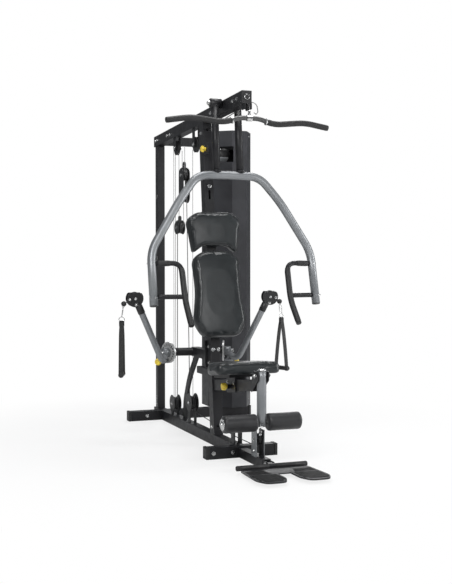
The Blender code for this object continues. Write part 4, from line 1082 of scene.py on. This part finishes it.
# ---------------------------------------------------------------- small fittings
def build_fasteners():
    rear = 0.930
    spots = [((-FRAME_FACE, y, z), (-1, 0, 0))
             for y, z in ((0.905, 2.0401), (0.945, 2.0385), (0.60, 2.045), (0.665, 2.045), (-0.300, 2.085),
                          (-0.240, 2.082), (-0.620, 2.100), (-0.690, 2.102))]
    for name in ("pulley_top_mid", "pulley_top_rear"):
        low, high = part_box(name)
        y, z = (low[1] + high[1]) / 2, (low[2] + high[2]) / 2
        spots += [((-0.0217, y, z), (-1, 0, 0)), ((0.0217, y, z), (1, 0, 0))]
    bolts("boom_bolts", "frame", spots, BOLT_R)
    spots = [(lean_point(x, POST_D / 2, u), (0, -1, 0.11))
             for x, u in ((0.0, 1.640), (0.018, 0.60), (-0.018, 0.60))]
    spots += [(lean_point(-POST_W / 2, f, u), (-1, 0, 0))
              for f, u in ((0.0, 0.115), (0.0, 1.990), (-0.01, 0.62), (-0.01, 0.52))]
    bolts("upright_bolts", "frame", spots, BOLT_R)
    spots = [((-0.180, -0.7102, 0.035), (0, -1, 0)), ((-0.060, -0.7102, 0.035), (0, -1, 0)),
             ((-0.140, 0.7998, 0.035), (0, -1, 0)), ((-0.0278, rear, 0.110), (-1, 0, 0)),
             ((-0.0278, rear, 0.150), (-1, 0, 0)), ((0.0, -0.680, 0.0702), (0, 0, 1))]
    bolts("base_bolts", "frame", spots, BOLT_R)
    spots = [((0.6435, 0.7808 - 0.0022, z), (0.838, -0.546, 0)) for z in (2.080, 0.130)]
    bolts("shroud_screws", "frame", spots, 0.0052, add_dome)
    spots = [((s * COVER_FACE, -1.112, 0.036), (s, 0, 0)) for s in (-1, 1)]
    bolts("hinge_bolts", "frame", spots, 0.0082)
    bolts("seat_bolts", "seat", [(lean_point(-0.0342, 0.415, SEAT_Z + 0.012), (-1, 0, 0)),
                                 (lean_point(-0.0342, 0.320, SEAT_Z + 0.022), (-1, 0, 0))], 0.0062)


def build_blocks():
    """Floating pulley blocks: side plates, a wheel at each centre, bolts, neck and eye."""
    for name, y, centres, neck in (("block_upper", 0.366, (1.600, 1.745), 1.835),
                                   ("block_lower", 0.466, (1.389,), 1.470)):
        bm, wheels, spots = bmesh.new(), bmesh.new(), []
        z0, z1 = min(centres), max(centres)
        for s in (-1, 1):
            rings = []
            for grow, x in ((0.955, 0.0185), (1.0, 0.0200), (1.0, 0.0245), (0.95, 0.0262)):
                r = 0.0465 * grow
                rings.append([bm.verts.new((s * x, y + r * math.cos(t),
                                            (z1 if math.sin(t) >= 0 else z0) + r * math.sin(t)))
                              for t in angles(40)])
            skin(bm, rings)
            spots += [((s * COVER_FACE, y, z), (s, 0, 0)) for z in centres]
        add_block(bm, (-0.020, y - 0.012, z1 + 0.034), (0.020, y + 0.012, z1 + 0.050), None, 0.002)
        add_lathe(bm, (0, y, z1 + 0.045), (0, 0, 1),
                  [(0, 0.0125), (0.030, 0.0120), (neck - z1 - 0.048, 0.0090), (neck - z1 - 0.045, 0.006)])
        for z in centres:
            add_lathe(wheels, (-0.013, y, z), (1, 0, 0),
                      [(0, 0.012), (0.0005, 0.041), (0.006, 0.042), (0.013, 0.034), (0.020, 0.042),
                       (0.0255, 0.041), (0.026, 0.012)], 32)
        put(bm, name + "_plates", "black_plastic", "frame", "black_plastic", name)
        put(wheels, name + "_wheels", "black_plastic", "frame", "black_plastic", smooth=True)
        bolts(name + "_bolts", "frame", spots, 0.0072)


def build_cables():
    """Thin steel cables beside the blocks, and the hanging hooks on the rear upright."""
    bm = bmesh.new()
    for x, y, z0, z1 in ((-0.012, 0.320, 1.745, 1.930), (0.0, 0.4125, 1.745, 1.915),
                         (0.010, 0.4125, 1.389, 1.600), (-0.010, 0.452, 1.470, 1.905),
                         (0.012, 0.600, 0.180, 1.930), (-0.018, 0.545, 0.180, 1.935),
                         (0.016, 0.235, 0.230, 1.905)):
        add_tube(bm, sample([(x, y, z0), (x, y, z1)], 4), 0.0017, 10)
    put(bm, "rising_cables", "wire", "frame", "cable_black", smooth=True)
    for tag, z in (("upper", 1.640), ("lower", 1.190)):
        start = Vector((-0.0278, 0.905, z))
        hook = [start + Vector(d) for d in ((0, 0, 0), (-0.012, -0.010, 0), (-0.020, -0.050, -0.004),
                                            (-0.022, -0.062, -0.018), (-0.024, -0.052, -0.030),
                                            (-0.024, -0.036, -0.026))]
        bm = bmesh.new()
        add_tube(bm, smooth_path(hook, 0.012, 6), 0.0022, 10)
        put(bm, f"wall_hook_{tag}", "wire", "frame", "bright_steel", smooth=True)


def build_nose():
    """Wire hook under the nose, and a plain ring on its cap."""
    bm = bmesh.new()
    hook = [(0.031, -0.745, 2.080), (0.052, -0.752, 2.078), (0.068, -0.765, 2.060),
            (0.072, -0.770, 2.020), (0.060, -0.772, 2.005), (0.046, -0.772, 2.016)]
    add_tube(bm, smooth_path(hook, 0.012, 6), 0.0028, 10)
    put(bm, "nose_hook", "wire", "frame", "bright_steel", smooth=True)
    bm = bmesh.new()
    ring = [Vector((0.0145 * math.cos(t), -0.7785, 2.103 + 0.0145 * math.sin(t)))
            for t in angles(32)]
    add_tube(bm, ring, 0.0016, 8, closed=True)
    put(bm, "nose_ring", "bright_steel", "frame", "bright_steel", smooth=True)


def build_base_pulleys():
    """Round guards over the lower pulleys, as dark discs with bolts."""
    bm, spots = bmesh.new(), []
    for y, z, r in ((0.201, 0.205, 0.062), (0.569, 0.151, 0.060)):
        for s in (-1, 1):
            add_lathe(bm, (s * 0.0225, y, z), (s, 0, 0),
                      [(0, r * 0.92), (0.0008, r), (0.0028, r), (0.0036, r * 0.95), (0.0036, 0)], 36)
            spots.append(((s * COVER_FACE, y, z), (s, 0, 0)))
    put(bm, "base_pulley_guards", "black_plastic", "frame", "black_plastic")
    bolts("base_pulley_bolts", "frame", spots, BOLT_R)
    bm = bmesh.new()
    for s in (-1, 1):
        add_block(bm, (s * 0.024 - 0.002, -0.985, 0.052), (s * 0.024 + 0.002, -0.912, 0.205), None, 0.0015)
    put(bm, "low_pulley_bracket", "arm_grey", "frame", "arm_grey")
    bolts("low_pulley_bolts", "frame", [((s * COVER_FACE, -0.948, z), (s, 0, 0)) for s in (-1, 1)
                                        for z in (0.150, 0.195, 0.085)], 0.0062)
    bm = bmesh.new()
    loop = [Vector((0.0, -0.985 + 0.012 * math.cos(t), 0.200 + 0.017 * math.sin(t)))
            for t in angles(28)]
    add_tube(bm, loop, 0.0024, 8, closed=True)
    add_lathe(bm, (0, -0.975, 0.172), (0, 0, 1),
              [(0, 0.006), (0.002, 0.011), (0.012, 0.011), (0.014, 0.006)], 20)
    put(bm, "low_snap_link", "bright_steel", "frame", "bright_steel", smooth=True)


def build_top_panel():
    """Panel, pulley and sloped plate seen through the opening at the top of the shroud."""
    bm = bmesh.new()
    add_block(bm, (0.352, 0.930, 1.800), (0.640, 0.936, 2.100), None, 0.001)
    add_block(bm, (0.352, 0.880, 1.990), (0.600, 0.930, 2.060), None, 0.002)
    put(bm, "shroud_rear_panel", "frame_black", "frame", "frame_black")
    bm = bmesh.new()
    add_lathe(bm, (0.470, 0.845, 1.950), (0, -1, 0), wheel_profile(0.044), 32)
    put(bm, "shroud_pulley", "black_plastic", "frame", "black_plastic", smooth=True)
    bm = bmesh.new()
    plate = Matrix.Translation((0.425, 0.800, 1.893)) @ Matrix.Rotation(math.radians(-38), 4, 'X')
    add_block(bm, (-0.050, -0.045, -0.0015), (0.050, 0.045, 0.0015), plate, 0.0008)
    put(bm, "sloped_plate", "arm_grey", "frame", "arm_grey")


def add_rib(bm, side, y, inner, outer):
    """One rubber rib across a foot plate."""
    add_block(bm, (min(side * inner, side * outer), y - 0.0028, 0.0289),
              (max(side * inner, side * outer), y + 0.0028, 0.0312), None, 0.0006)


def build_treads():
    """Ribbed rubber on both foot plates."""
    bm = bmesh.new()
    for side in (-1, 1):
        for k in range(13):
            y = -1.325 - 0.0125 * k
            add_rib(bm, side, y, *((0.074, 0.180) if y < -1.46 else (0.052, 0.196)))
        for k in range(5):
            add_rib(bm, side, -1.235 - 0.016 * k, 0.085 - 0.004 * k, 0.192)
    put(bm, "foot_treads", "rubber_black", "foot_rest", "rubber_black")
    bm = bmesh.new()
    for side in (-1, 1):
        end_plug(bm, (side * 0.2065, -1.147, 0.034), (side, 0, 0), 0.0138)
        add_tube(bm, [(side * 0.02, -1.147, 0.034), (side * 0.2065, -1.147, 0.034)], 0.0145, 24)
    put(bm, "foot_bar_sleeves", "rubber_black", "foot_rest", "rubber_black", smooth=True)


# ---------------------------------------------------------------- build the model
def finish_cad():
    """Give every CAD node that stays its procedural finish."""
    special = {"shroud": "shroud"}
    for name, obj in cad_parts.items():
        for slot in obj.material_slots:
            slot.material = MATS[special.get(name, slot.material.name.split(".")[0])]


build_camera()
MATS = make_materials()
build_studio()
finish_cad()
build_pads()
build_rollers()
build_knobs()
build_straps()
build_press_arm()
build_handles()
build_lat_bar()
build_cable_arms()
build_leg_arm()
build_discs()
build_housings()
build_fasteners()
build_blocks()
build_cables()
build_nose()
build_base_pulleys()
build_top_panel()
build_treads()
